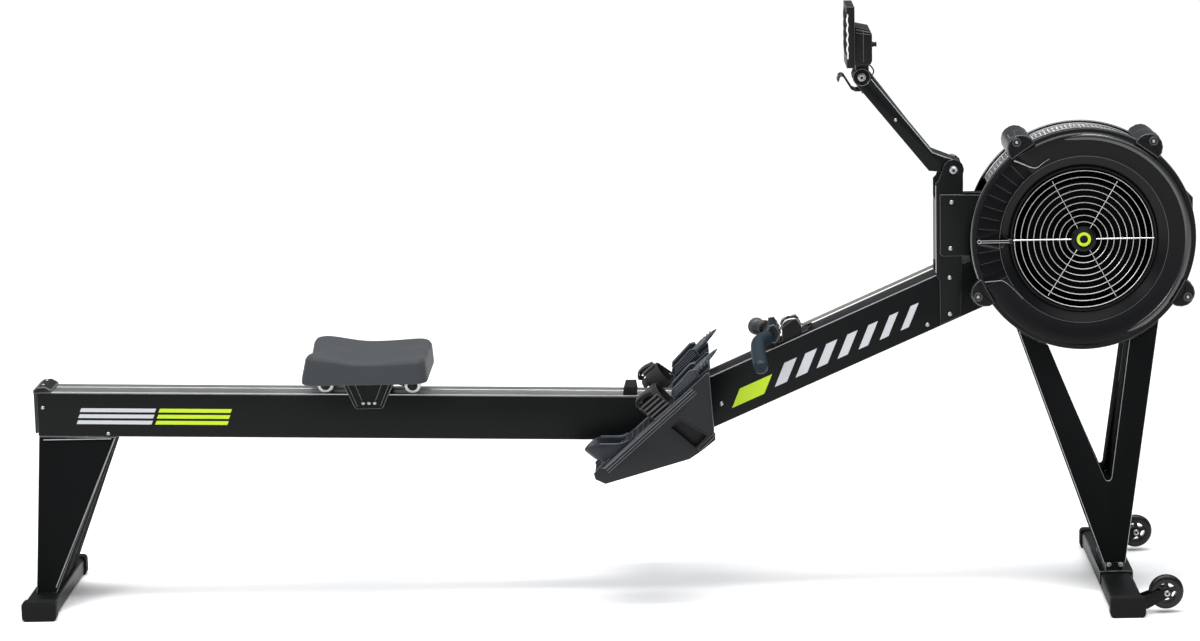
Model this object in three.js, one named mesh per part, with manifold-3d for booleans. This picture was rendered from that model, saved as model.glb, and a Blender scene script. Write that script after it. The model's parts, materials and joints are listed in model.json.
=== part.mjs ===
// A rowing machine with an air-braked flywheel, tall legs and a folding monitor arm.
// Millimetres, +Z up. The origin is on the floor under the middle of the machine's length.
// +X points from the seat to the flywheel, and -Y is the side that carries the damper lever.
import * as THREE from "three";
import Module from "manifold-3d";
import { mergeVertices } from "three/addons/utils/BufferGeometryUtils.js";

const wasm = await Module();
wasm.setup();

// ---------------------------------------------------------------- driving dimensions
const gap = 0.3;                       // clearance left between touching pieces
const machineHalfLength = 1224;

// The rail slopes gently down towards the flywheel, so the seat rolls forwards by itself.
const railSlope = 0.0235;
const railTopAtOrigin = 427.8;
const railHeight = 95.6;
const railHalfWidth = 42.6;
const railRearEnd = -1200;
const railFrontEnd = 150;
const trackThickness = 2.5;

// The main beam rises from the rail to the flywheel.
const beamSlope = 0.4378;
const beamLowerAtOrigin = 256.7;       // height of its lower edge, carried back to X = 0
const beamRise = 111.4;                // its height, measured straight up
const beamHalfWidth = 40;

const axle = { x: 992, z: 747 };       // the flywheel's centre
const coverRadius = 230;
const nearFaceY = -88;
const farFaceY = 74;
const grilleRadius = 146;
const coverSides = 44;
const frameArcRadius = 232.6;          // the beam and the legs end on this arc
const fanRadius = 205;

const tube = { width: 63.5, height: 37, bottom: 3, corner: 7, wall: 2.5 };
const capWall = 4.25;
const capLength = 25;
const rearFoot = { x: -1188, halfLength: 205.5 };
const frontFoot = { x: 1060, halfLength: 305 };
const caster = { x: 1142, z: 43.3, radius: 36.3, width: 24, y: 260 };

const seat = { x: -499, length: 258, halfWidth: 130, bottom: 479, top: 538 };
const roller = { radius: 17, spacing: 183, y: 31, width: 11 };

// The footboards lie on one slope; heel is the lower end of their top surface.
const board = { heelX: -6.4, heelZ: 298.7, angle: THREE.MathUtils.degToRad(40.3) };
board.inner = 56;
board.outer = 168;
board.middle = (board.inner + board.outer) / 2;
board.wall = 4;

const column = { left: 690, right: 741, inner: beamHalfWidth + gap, wall: 4, pivotX: 727, pivotZ: 891 };
const armHalfWidth = 36;
const monitorPivot = { x: 540, z: 1086 };
const monitor = { face: 508, back: 561, bottom: 1109, top: 1235, halfWidth: 72 };

const handle = { x: 348, z: 549, gripRadius: 15, halfLength: 246 };
const chainEnd = { x: 414, z: 563.6 };
const chainAngle = Math.atan(beamSlope);

// ---------------------------------------------------------------- materials
const finish = (color, roughness, metalness = 0) =>
  new THREE.MeshStandardMaterial({ color, roughness, metalness });
const blackPaint = finish(0x1b1c1d, 0.45, 0.2);
const trackSteel = finish(0x8d9092, 0.35, 0.9);
const zinc = finish(0xb9bcbf, 0.3, 0.95);
const blackPlastic = finish(0x17191a, 0.5);
const charcoalPlastic = finish(0x2b2d31, 0.6);
const slatePlastic = finish(0x33383d, 0.6);
const seatFoam = finish(0x4a4e52, 0.85);
const gripRubber = finish(0x1f3440, 0.7);
const blackRubber = finish(0x151616, 0.9);
const whiteTyre = finish(0xe6e6e2, 0.6);
const webbing = finish(0x1a1b1c, 0.95);
const screenGlass = finish(0x3b4540, 0.15);
const chainSteel = finish(0x8f8a80, 0.35, 0.9);

// ---------------------------------------------------------------- solid helpers
function toSolid(geometry) {
  const bare = geometry.index ? geometry.toNonIndexed() : geometry.clone();
  bare.deleteAttribute("normal");
  bare.deleteAttribute("uv");
  const merged = mergeVertices(bare, 1e-4);
  return new wasm.Manifold(new wasm.Mesh({
    numProp: 3,
    vertProperties: new Float32Array(merged.attributes.position.array),
    triVerts: new Uint32Array(merged.index.array),
  }));
}

function toGeometry(solid) {
  const mesh = solid.getMesh();
  const geometry = new THREE.BufferGeometry();
  geometry.setAttribute("position", new THREE.BufferAttribute(mesh.vertProperties, 3));
  geometry.setIndex(new THREE.BufferAttribute(mesh.triVerts, 1));
  geometry.computeVertexNormals();
  return geometry;
}

const join = (...geometries) => toGeometry(geometries.map(toSolid).reduce((a, b) => a.add(b)));
const cut = (body, ...tools) => toGeometry(tools.map(toSolid).reduce((a, b) => a.subtract(b), toSolid(body)));

function shapeOf(points) {
  return new THREE.Shape(points.map(([x, y]) => new THREE.Vector2(x, y)));
}

// A plate whose outline is given in X and Z and which fills y0 to y1.
function plate(outline, y0, y1, curveSegments = 12) {
  const shape = Array.isArray(outline) ? shapeOf(outline) : outline;
  const geometry = new THREE.ExtrudeGeometry(shape, { depth: y1 - y0, bevelEnabled: false, curveSegments });
  geometry.rotateX(Math.PI / 2);
  geometry.translate(0, y1, 0);
  return geometry;
}

// A bar whose section is given in Y and Z and which fills x0 to x1.
function bar(section, x0, x1, curveSegments = 12) {
  const shape = Array.isArray(section) ? shapeOf(section) : section;
  const geometry = new THREE.ExtrudeGeometry(shape, { depth: x1 - x0, bevelEnabled: false, curveSegments });
  geometry.applyMatrix4(new THREE.Matrix4().set(0, 0, 1, x0, 1, 0, 0, 0, 0, 1, 0, 0, 0, 0, 0, 1));
  return geometry;
}

function box(x0, x1, y0, y1, z0, z1) {
  const geometry = new THREE.BoxGeometry(x1 - x0, y1 - y0, z1 - z0);
  geometry.translate((x0 + x1) / 2, (y0 + y1) / 2, (z0 + z1) / 2);
  return geometry;
}

// A turned piece about an axis along Y; profile points are [radius, y].
function turned(profile, x, z, segments) {
  const geometry = new THREE.LatheGeometry(profile.map(([r, y]) => new THREE.Vector2(r, y)), segments);
  geometry.translate(x, 0, z);
  return geometry;
}

function rod(x, z, radius, y0, y1, segments = 20) {
  return turned([[0, y0], [radius, y0], [radius, y1], [0, y1]], x, z, segments);
}

function ring(x, z, inner, outer, y0, y1, segments) {
  return turned([[inner, y0], [outer, y0], [outer, y1], [inner, y1], [inner, y0]], x, z, segments);
}

// A bar of round section along a list of points.
function roundBar(points, radius, steps, sides = 10, bore = 0) {
  const section = new THREE.Shape().absarc(0, 0, radius, 0, Math.PI * 2);
  if (bore > 0) {
    section.holes.push(new THREE.Path().absarc(0, 0, bore, 0, Math.PI * 2, true));
  }
  const path = new THREE.CatmullRomCurve3(points.map((p) => new THREE.Vector3(...p)));
  return new THREE.ExtrudeGeometry(section, { steps, extrudePath: path, curveSegments: sides });
}

function roundedSection(halfWidth, bottom, top, corner, centre = 0) {
  const left = centre - halfWidth;
  const right = centre + halfWidth;
  const shape = new THREE.Shape();
  shape.moveTo(left + corner, bottom);
  shape.absarc(right - corner, bottom + corner, corner, -Math.PI / 2, 0);
  shape.absarc(right - corner, top - corner, corner, 0, Math.PI / 2);
  shape.absarc(left + corner, top - corner, corner, Math.PI / 2, Math.PI);
  shape.absarc(left + corner, bottom + corner, corner, Math.PI, Math.PI * 1.5);
  return shape;
}

// Makes a piece narrower or wider with height: Y is scaled from scaleLow at zLow to scaleHigh at zHigh.
function splay(geometry, zLow, scaleLow, zHigh, scaleHigh) {
  const position = geometry.attributes.position;
  for (let i = 0; i < position.count; i += 1) {
    const share = (position.getZ(i) - zLow) / (zHigh - zLow);
    position.setY(i, position.getY(i) * (scaleLow + (scaleHigh - scaleLow) * share));
  }
  return geometry;
}

function polar(centre, radius, degrees) {
  const angle = THREE.MathUtils.degToRad(degrees);
  return [centre.x + radius * Math.cos(angle), centre.z + radius * Math.sin(angle)];
}

function arcPoints(centre, radius, from, to, count) {
  return Array.from({ length: count + 1 }, (_, i) => polar(centre, radius, from + ((to - from) * i) / count));
}

function angleAt(centre, x, z) {
  return THREE.MathUtils.radToDeg(Math.atan2(z - centre.z, x - centre.x));
}

const railTop = (x) => railTopAtOrigin - railSlope * x;
const railBottom = (x) => railTop(x) - railHeight;
const beamLower = (x) => beamLowerAtOrigin + beamSlope * x;
const beamUpper = (x) => beamLower(x) + beamRise;

// Where a line of height f(x) meets the arc on which the frame ends, on the arc's left side.
function meetArc(f) {
  let x = axle.x - frameArcRadius;
  for (let i = 0; i < 40; i += 1) {
    const dz = f(x) - axle.z;
    x = axle.x - Math.sqrt(frameArcRadius ** 2 - dz * dz);
  }
  return [x, f(x)];
}

const machine = new THREE.Group();

function add(name, geometry, material, parent = machine) {
  const mesh = new THREE.Mesh(geometry, material);
  mesh.name = name;
  parent.add(mesh);
  return mesh;
}

// Adds the piece on the near side, and its mirror image on the far side.
function addPair(name, geometry, material, parent = machine) {
  add(`${name}_near`, geometry, material, parent);
  const mirrored = toSolid(geometry).mirror([0, 1, 0]);
  add(`${name}_far`, toGeometry(mirrored), material, parent);
}

// ---------------------------------------------------------------- rail and rear leg
function railOutline(fromTop, toBottom) {
  return [
    [railRearEnd, railTop(railRearEnd) - fromTop],
    [railRearEnd, railTop(railRearEnd) - toBottom],
    [railFrontEnd, railTop(railFrontEnd) - toBottom],
    [railFrontEnd, railTop(railFrontEnd) - fromTop],
  ].reverse();
}

function makeRail() {
  const wall = 2.5;
  const outside = plate(railOutline(trackThickness + gap, railHeight), -railHalfWidth, railHalfWidth);
  const hollow = [
    [railRearEnd - 20, railTop(railRearEnd - 20) - trackThickness - gap - wall],
    [railRearEnd - 20, railTop(railRearEnd - 20) - railHeight + wall],
    [railFrontEnd + 20, railTop(railFrontEnd + 20) - railHeight + wall],
    [railFrontEnd + 20, railTop(railFrontEnd + 20) - trackThickness - gap - wall],
  ];
  const inside = railHalfWidth - wall;
  add("monorail_beam", cut(outside, plate(hollow, -inside, inside)), blackPaint);

  // The track is a steel strip with a shallow channel along its middle.
  const track = plate(railOutline(0, trackThickness), -railHalfWidth, railHalfWidth);
  const channel = [
    [railRearEnd - 20, railTop(railRearEnd - 20) - 1],
    [railFrontEnd + 20, railTop(railFrontEnd + 20) - 1],
    [railFrontEnd + 20, railTop(railFrontEnd + 20) + 9],
    [railRearEnd - 20, railTop(railRearEnd - 20) + 9],
  ];
  add("seat_track", cut(track, plate(channel, -14, 14)), trackSteel);
}

function makeRearEndCap() {
  const thickness = 7;
  const x0 = railRearEnd - thickness;
  const x1 = railRearEnd - gap;
  const face = box(x0, x1, -railHalfWidth - 1, railHalfWidth + 1,
    railBottom(x0) + 6, railTop(x0) + 20);
  const stop = box(x0, railRearEnd + 34, -railHalfWidth - 1, railHalfWidth + 1,
    railTop(x0) + gap, railTop(x0) + 14);
  const horns = [-32, 32].map((y) => box(x0, railRearEnd + 30, y - 10, y + 10,
    railTop(x0) + 10, railTop(x0) + 22));
  const plug = box(x0, railRearEnd + 25, -railHalfWidth + 4, railHalfWidth - 4,
    railBottom(x0) + 10, railTop(x0) - 12);
  add("rear_end_cap", join(face, stop, plug, ...horns), blackPlastic);
}

function makeFrontSeatStop() {
  const x0 = 34;
  const x1 = 64;
  const outline = [[x0, railTop(x0) + gap], [x1, railTop(x1) + gap], [x1 - 3, railTop(x0) + 17],
    [x0 + 5, railTop(x0) + 17]];
  add("front_seat_stop", plate(outline, -railHalfWidth + 3, railHalfWidth - 3), blackRubber);
}

// One half of a folded leg: a side plate and the edges folded in towards the middle.
function foldedHalf(outline, inner, halfWidth, sheet) {
  const block = plate(outline, -halfWidth, -gap);
  const pockets = inner.map((points) => plate(points, -halfWidth + sheet, 5));
  return cut(block, ...pockets);
}

function makeRearLeg() {
  const topWidth = railHalfWidth + 1;
  const bottomWidth = 126;
  const bottom = tube.bottom + tube.height + gap;
  const x = { topRear: -1199, topFront: -1036, bottomRear: -1205, bottomFront: -1163 };
  const outline = [
    [x.bottomRear, bottom], [x.bottomFront, bottom],
    [x.topFront, railBottom(x.topFront) - gap], [x.topRear, railBottom(x.topRear) - gap],
  ];
  const sheet = 3;
  const inner = [
    [x.bottomRear + sheet, bottom - 9], [x.bottomFront - 3.5, bottom - 9],
    [x.bottomFront - 3.5, bottom], [x.topFront - 3.5, railBottom(x.topFront)],
    [x.topFront - 3.5, railBottom(x.topFront) + 9], [x.topRear + sheet, railBottom(x.topRear) + 9],
  ];
  const half = foldedHalf(outline, [inner], topWidth, sheet);
  splay(half, outline[2][1], 1, bottom, bottomWidth / topWidth);
  addPair("rear_leg", half, blackPaint);
}

// ---------------------------------------------------------------- feet and transport wheels
function footTube(foot) {
  const top = tube.bottom + tube.height;
  const section = roundedSection(tube.width / 2, tube.bottom, top, tube.corner, foot.x);
  const hollow = roundedSection(tube.width / 2 - tube.wall, tube.bottom + tube.wall, top - tube.wall,
    tube.corner - tube.wall, foot.x);
  section.holes.push(new THREE.Path(hollow.getPoints(2).reverse()));
  const half = foot.halfLength - capWall - gap;
  return plate(section, -half, half, 2);
}

// A rubber cap that closes the end of a foot tube and carries the pad that stands on the floor.
function footCaps(name, foot) {
  const outer = roundedSection(tube.width / 2 + capWall, 0, tube.bottom + tube.height + 2.5, 9, foot.x);
  const tubeTop = tube.bottom + tube.height;
  const inner = roundedSection(tube.width / 2 + gap, tube.bottom - gap, tubeTop + gap, tube.corner, foot.x);
  const shell = plate(outer, -foot.halfLength, -foot.halfLength + capLength, 2);
  const pocket = plate(inner, -foot.halfLength + capWall, -foot.halfLength + capLength + 5, 2);
  addPair(name, cut(shell, pocket), blackRubber);
}

function makeFeet() {
  add("rear_foot_tube", footTube(rearFoot), blackPaint);
  footCaps("rear_foot_cap", rearFoot);
  const side = frontFoot.x + tube.width / 2;
  const arms = [-1, 1].flatMap((mirror) => {
    const middle = mirror * caster.y;
    const outline = [[side - 2, 10], [side - 2, 36], [caster.x - 9, caster.z + 9], [caster.x, caster.z + 11],
      [caster.x + 10, caster.z], [caster.x, caster.z - 10], [side + 12, 12]];
    const reach = caster.width / 2 + 2;
    const cheeks = [-1, 1].map((s) => {
      const y = middle + s * (reach + 1.5);
      return plate(outline, y - 1.5, y + 1.5);
    });
    const bolt = rod(caster.x, caster.z, 4, middle - reach - 6, middle + reach + 6, 8);
    return [...cheeks, bolt];
  });
  add("front_foot", join(footTube(frontFoot), ...arms), blackPaint);
  footCaps("front_foot_cap", frontFoot);
  const half = caster.width / 2;
  const profile = [[4.4, -half], [12, -half], [14, -half + 4], [26, -half + 4],
    [33, -half + 3], [caster.radius, -half + 9], [caster.radius, half - 9], [33, half - 3],
    [26, half - 4], [14, half - 4], [12, half], [4.4, half], [4.4, -half]];
  const wheel = turned(profile, caster.x, caster.z, 20);
  wheel.translate(0, -caster.y, 0);
  addPair("caster_wheel", wheel, blackRubber);
}

// ---------------------------------------------------------------- front leg
function makeFrontLeg() {
  const bottomWidth = 92;
  const topWidth = 76;
  const bottom = 62;
  const topZ = 570;
  const left = { x: 1034, z: bottom };
  const right = { x: 1079, z: bottom };
  const arcLeft = angleAt(axle, 857, 556);
  const arcRight = angleAt(axle, 1147, 575);
  const valley = { x: 1043, z: 244, radius: 7 };
  const innerLeft = angleAt(axle, 919, 526);
  const innerRight = angleAt(axle, 1087, 535);
  const outline = [
    [left.x, left.z], [right.x, right.z],
    ...arcPoints(axle, frameArcRadius, arcRight, innerRight, 5),
    ...arcPoints({ x: valley.x, z: valley.z }, valley.radius, 352, 202, 5),
    ...arcPoints(axle, frameArcRadius, innerLeft, arcLeft, 5),
  ];
  const sheet = 3;
  const rearArm = [
    [left.x + 4, bottom - 9], [valley.x, bottom - 9], [valley.x, valley.z - valley.radius - sheet],
    [valley.x - 12, valley.z - 1], [895.5, 590], [828.5, 590], [left.x + 3.6, bottom],
  ];
  const frontArm = [
    [valley.x - 1, bottom - 9], [right.x - 3.5, bottom - 9], [right.x - 3.3, bottom], [1149, 600],
    [1100, 600], [valley.x + 10.6, valley.z], [valley.x - 1, valley.z - valley.radius - sheet],
  ];
  const half = foldedHalf(outline, [rearArm, frontArm], bottomWidth, sheet);
  splay(half, bottom, 1, topZ, topWidth / bottomWidth);
  addPair("front_leg", half, blackPaint);

  // The saddle straddles the foot tube and lifts the leg's end clear of it.
  const tubeTop = tube.bottom + tube.height;
  const wing = frontFoot.x - tube.width / 2 - gap;
  const wingFar = frontFoot.x + tube.width / 2 + gap;
    const reach = bottomWidth;
  const channel = box(wing - sheet, wingFar + sheet, -reach, reach, 16, tubeTop + 4);
  const clearance = box(wing, wingFar, -reach - 7, reach + 7, 0, tubeTop + gap);
  const pedestal = box(left.x + 4, right.x - 4, -88, 88, tubeTop + 2, bottom - gap);
  add("leg_saddle", join(cut(channel, clearance), pedestal), blackPaint);
}

// ---------------------------------------------------------------- main beam, column and axle bracket
function makeMainBeam() {
  const wall = 2.5;
  const [lowX, lowZ] = meetArc(beamLower);
  const [highX, highZ] = meetArc(beamUpper);
  const start = railFrontEnd + gap;
  const outline = [
    [start, beamLower(start)],
    ...arcPoints(axle, frameArcRadius, angleAt(axle, lowX, lowZ), angleAt(axle, highX, highZ), 6),
    [start, beamUpper(start)],
  ];
  const hollow = [
    [start - 20, beamLower(start - 20) + wall], [900, beamLower(900) + wall],
    [900, beamUpper(900) - wall], [start - 20, beamUpper(start - 20) - wall],
  ];
  const inside = beamHalfWidth - wall;
  const outside = plate(outline, -beamHalfWidth, beamHalfWidth);
  add("main_beam", cut(outside, plate(hollow, -inside, inside)), blackPaint);
}

function makeColumn() {
  const outer = column.inner + column.wall;
  const earRadius = 22;
  const sideOutline = [
    [column.left + 8, beamLower(column.left + 8) + 4], [column.right, beamLower(column.right) + 4],
    [column.right + 6, column.pivotZ - 30],
    ...arcPoints({ x: column.pivotX, z: column.pivotZ }, earRadius, -25, 175, 7),
    [column.left + 6, column.pivotZ - 22], [column.left, column.pivotZ - 28],
    [column.left, beamUpper(column.left)], [column.left + 8, beamUpper(column.left) - 12],
  ];
  const sides = [-1, 1].map((s) => plate(sideOutline, Math.min(s * column.inner, s * outer),
    Math.max(s * column.inner, s * outer)));
  const webFoot = beamUpper(column.left + column.wall) + gap;
  // The web stops short of the pivot, so that the arm can fold down over it.
  const webTop = column.pivotZ - 64;
  const web = box(column.left, column.left + column.wall, -outer, outer, webFoot, webTop);
  const chainZ = chainEnd.z + (column.left + 2 - chainEnd.x) * beamSlope;
  const chainHole = box(column.left - 5, column.left + 9, -11, 11, chainZ - 11.4, chainZ + 11.4);
  const pinHole = rod(column.pivotX, column.pivotZ, 6.4, -60, 60, 10);
  // The side gusset is welded to the outside of the column and runs in under the housing's rim.
  const gussetOutline = [[699, 716], [704, 711], [756, 711], [782, 716], [782, 838], [699, 840]];
  const gusset = plate(gussetOutline, -outer - 3, -outer + 1);
  add("column", cut(join(...sides, web, gusset), chainHole, pinHole), blackPaint);

  // A plastic guide lines the hole through which the chain leaves.
  const guide = box(column.left - 3, column.left + 7, -10.6, 10.6, chainZ - 11, chainZ + 11);
  const passage = box(column.left - 9, column.left + 9, -4.6, 4.6, chainZ - 8, chainZ + 8);
  add("chain_guide", cut(guide, passage), blackPlastic);
}

function makeAxleBracket() {
  const plateOutline = [
    [column.left + 12, 712], [760, 712], [790, 690], ...arcPoints(axle, 46, -80, 80, 5), [790, 838],
    [column.left + 12, 838],
  ];
  const plates = [[-11, -7], [8, 12]].map(([y0, y1]) => plate(plateOutline, y0, y1));
  const spacerReach = column.inner - gap;
  const spacers = [728, 822].map((z) => rod(716, z, 9, -spacerReach, spacerReach, 10));
  const bore = rod(axle.x, axle.z, 17.4, -40, 0, 18);
  const farBore = rod(axle.x, axle.z, 8.6, 0, 40, 20);
  const window = plate([[770, 745], [900, 735], [900, 760], [770, 800]], -40, 40);
  add("axle_bracket", cut(join(...plates, ...spacers), bore, farBore, window), blackPaint);
  add("axle_bearing", ring(axle.x, axle.z, 8.3, 17, -14, -5, 18), zinc);

  // The cradle is a curved plate under the housing, between the beam's end and the leg.
  const inner = frameArcRadius - gap - 6;
  const cradle = [
    ...arcPoints(axle, frameArcRadius - gap, 200, 316, 16), ...arcPoints(axle, inner, 316, 200, 16),
  ];
  add("housing_cradle", plate(cradle, -38, 38), blackPaint);
}

// ---------------------------------------------------------------- flywheel and its housing
// A rounded block on the rim, where a screw pulls the two covers together.
function rimLug(degrees, y0, y1, height) {
  const half = 26;
  const outline = [];
  const angle = THREE.MathUtils.degToRad(degrees);
  const place = (along, out) => [
    axle.x + out * Math.cos(angle) - along * Math.sin(angle),
    axle.z + out * Math.sin(angle) + along * Math.cos(angle),
  ];
  outline.push(place(-half, 224), place(-half * 0.85, 238), place(-half * 0.5, 236 + height));
  outline.push(place(half * 0.5, 236 + height), place(half * 0.85, 238), place(half, 224));
  return plate(outline, y0, y1);
}

const lugAngles = { upperRear: 124, upperFront: 55, lowerRear: 208, lowerFront: 330 };

function makeCovers() {
  const nearProfile = [
    [coverRadius, -64], [coverRadius, nearFaceY + 4], [coverRadius - 4, nearFaceY - 1], [173, nearFaceY + 4],
    [grilleRadius, -70], [grilleRadius, -66], [172, nearFaceY + 8], [coverRadius - 3.5, nearFaceY + 5],
    [coverRadius - 3.5, -64], [coverRadius, -64],
  ].reverse();
  const nearLugs = [
    rimLug(lugAngles.upperRear, nearFaceY + 2, -12, 22), rimLug(lugAngles.upperFront, nearFaceY + 2, -12, 22),
    rimLug(lugAngles.lowerRear, nearFaceY + 2, -64, 20), rimLug(lugAngles.lowerFront, nearFaceY + 2, -64, 16),
  ];
  const room = rod(axle.x, axle.z, coverRadius - 3.5, -83, 0, coverSides);
  const lugs = nearLugs.map((lug) => cut(lug, room));
  add("near_cover", join(turned(nearProfile, axle.x, axle.z, coverSides), ...lugs), blackPlastic);

  const farProfile = [
    [0, farFaceY - 8], [150, farFaceY - 8], [160, farFaceY], [222, farFaceY], [coverRadius, farFaceY - 6],
    [coverRadius, 48], [coverRadius - 3.5, 48], [coverRadius - 3.5, farFaceY - 7], [221, farFaceY - 3.5],
    [161.5, farFaceY - 3.5], [151.5, farFaceY - 11.5], [0, farFaceY - 11.5],
  ].reverse();
  const farLugs = [
    rimLug(lugAngles.upperRear, -11.4, farFaceY - 2, 22),
    rimLug(lugAngles.upperFront, -11.4, farFaceY - 2, 22),
    rimLug(lugAngles.lowerRear, 48, farFaceY - 2, 20), rimLug(lugAngles.lowerFront, 48, farFaceY - 2, 16),
  ];
  const farRoom = rod(axle.x, axle.z, coverRadius - 3.5, -30, farFaceY - 8, coverSides);
  const farShell = turned(farProfile, axle.x, axle.z, coverSides);
  add("far_cover", join(farShell, ...farLugs.map((lug) => cut(lug, farRoom))), blackPlastic);
}

function makeCage() {
  // The perforated band between the covers is open at the left, where the frame comes in.
  const inner = 221.5;
  const outer = 224;
  const band = [...arcPoints(axle, outer, -142, 150, 36), ...arcPoints(axle, inner, 150, -142, 36)];
  // A pointed bracket on the band, which the front of the machine is lifted by.
  const corner = { x: machineHalfLength, z: 821 };
  const bracket = [
    polar(axle, outer - 1, 2), [corner.x, 786], [corner.x, corner.z], polar(axle, outer - 1, 36),
  ];
  add("cage_band", join(plate(band, -63, 47), plate(bracket, -22, 6)), blackPaint);
}

function makeGrille() {
  // Flat wires: rings joined by three bars through the hub.
  const ringRadii = [84, grilleRadius - 3];
  const wire = 1.7;
  const rings = ringRadii.map((r) => ring(axle.x, axle.z, r - wire, r + wire, -78, -75, 28));
  const spokes = [0, 60, 120].map((degrees) => {
    const spoke = box(3 - grilleRadius, grilleRadius - 3, -77.9, -75.1, -wire, wire);
    spoke.rotateY(THREE.MathUtils.degToRad(degrees));
    spoke.translate(axle.x, 0, axle.z);
    return spoke;
  });
  const hub = turned([[0, -82], [24, -82], [27, -80], [27, -75], [0, -75]], axle.x, axle.z, 18);
  add("intake_grille", join(hub, ...rings, ...spokes), zinc);
}

function makeFlywheel() {
  const blades = 18;
  const discRadius = 112;
  const outline = [];
  for (let k = 0; k < blades; k += 1) {
    const middle = (k * 360) / blades;
    outline.push(polar(axle, discRadius, middle - 1.6), polar(axle, fanRadius, middle + 7));
    outline.push(polar(axle, fanRadius, middle + 8.2), polar(axle, discRadius, middle + 1.6));
  }
  const shape = shapeOf(outline);
  shape.holes.push(new THREE.Path().absarc(axle.x, axle.z, 8.3, 0, Math.PI * 2, true));
  const fan = plate(shape, -58, -16, 6);
  const recess = ring(axle.x, axle.z, 30, 106, -64, -30, 24);
  add("flywheel", cut(fan, recess), trackSteel);
  add("flywheel_axle", rod(axle.x, axle.z, 8, -64, 34, 20), zinc);

  const teeth = 14;
  const rootRadius = 24.5;
  const tipRadius = 30.5;
  const rim = [];
  for (let k = 0; k < teeth; k += 1) {
    const middle = (k * 360) / teeth;
    rim.push(polar(axle, rootRadius, middle - 7), polar(axle, tipRadius, middle - 2.5));
    rim.push(polar(axle, tipRadius, middle + 2.5), polar(axle, rootRadius, middle + 7));
  }
  const sprocket = shapeOf(rim);
  sprocket.holes.push(new THREE.Path().absarc(axle.x, axle.z, 8.4, 0, Math.PI * 2, true));
  add("drive_sprocket", plate(sprocket, -3, 3, 6), chainSteel);
}

function makeDamper() {
  // The intake ring turns about the flywheel's centre and carries the lever on its left.
  const band = ring(axle.x, axle.z, grilleRadius + 1, grilleRadius + 6, -84, -76, 36);
  const root = box(axle.x - 158, axle.x - 148, -95, -79, axle.z - 7, axle.z + 7);
  const lever = box(axle.x - 225, axle.x - 150, -95, -91.5, axle.z - 4, axle.z + 4);
  const tip = rod(axle.x - 223, axle.z, 7, -97, -91.5, 14);
  add("damper_ring", join(band, root, lever, tip), blackPlastic);
}

// ---------------------------------------------------------------- chain return
function makeReturn() {
  const pulley = { x: 300, radius: 20 };
  pulley.z = beamLower(pulley.x) + 45;
  const shaft = beamHalfWidth - 3;
  const profile = [[0, -shaft], [4, -shaft], [4, -6], [pulley.radius, -6], [pulley.radius - 4, 0],
    [pulley.radius, 6], [4, 6], [4, shaft], [0, shaft]];
  add("return_pulley", turned(profile, pulley.x, pulley.z, 16), blackPlastic);
  const far = 640;
  const above = pulley.radius + 3.2;
  const points = [pulley.x + 6, 380, 470, 560, far].map((x) => [x, 0, beamLower(x) + 45 + above]);
  add("return_cord", roundBar(points, 4, 8, 4), blackRubber);
}

// ---------------------------------------------------------------- footboards
function makeFootboards() {
  const skirt = [
    [-3, 266], [172, 316], [192, 329], [224, 361], [215, 497], [209, 496],
    [board.heelX, board.heelZ], [-14, 304], [-27, 288], [-24, 276],
  ];
  const rise = Math.tan(board.angle);
  const top = (x) => board.heelZ + (x - board.heelX) * rise;
  const under = [
    [8, 262], [172, 306], [201, 330], [219, 362], [212, top(212) - 12], [16, top(16) - 12],
  ];
  const shell = plate(skirt, -board.outer, -board.inner);
  const hollow = plate(under, -board.outer + board.wall, -board.inner - board.wall);
  const openBottom = plate([[8, 240], [190, 290], [201, 331], [172, 318], [8, 271]],
    -board.outer + board.wall, -board.inner - board.wall);
  const slotOutline = [[134, 383], [155, 400], [210, 365], [184, 339]];
  const slot = plate(slotOutline, -board.outer - 3, -board.outer + board.wall + 2);
  // The foot lies between the two rims, on the plain slope.
  const bedOutline = [[-60, top(-60)], [260, top(260)], [260, 600], [-60, 600]];
  const bed = plate(bedOutline, -board.outer + 8, -board.inner - 6);
  addPair("footboard", cut(shell, hollow, openBottom, slot, bed), charcoalPlastic);

  // A bridge hangs under the rail and holds both footboards.
  const side = board.inner - gap;
  const bridge = box(88, 148, -side, side, 300, 372);
  const railRoomOutline = [
    [60, railBottom(60) - gap], [149.5, railBottom(149.5) - 2 * gap], [149.5, 420], [60, 420],
  ];
  const railRoom = plate(railRoomOutline, -railHalfWidth - gap, railHalfWidth + gap);
  add("footboard_bridge", cut(bridge, railRoom), blackPaint);
}

// Local frame of a footboard: x runs up the slope from the heel and z stands square to its surface.
const slope = new THREE.Group();
slope.position.set(board.heelX, 0, board.heelZ);
slope.rotation.y = -board.angle;
machine.add(slope);

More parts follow.
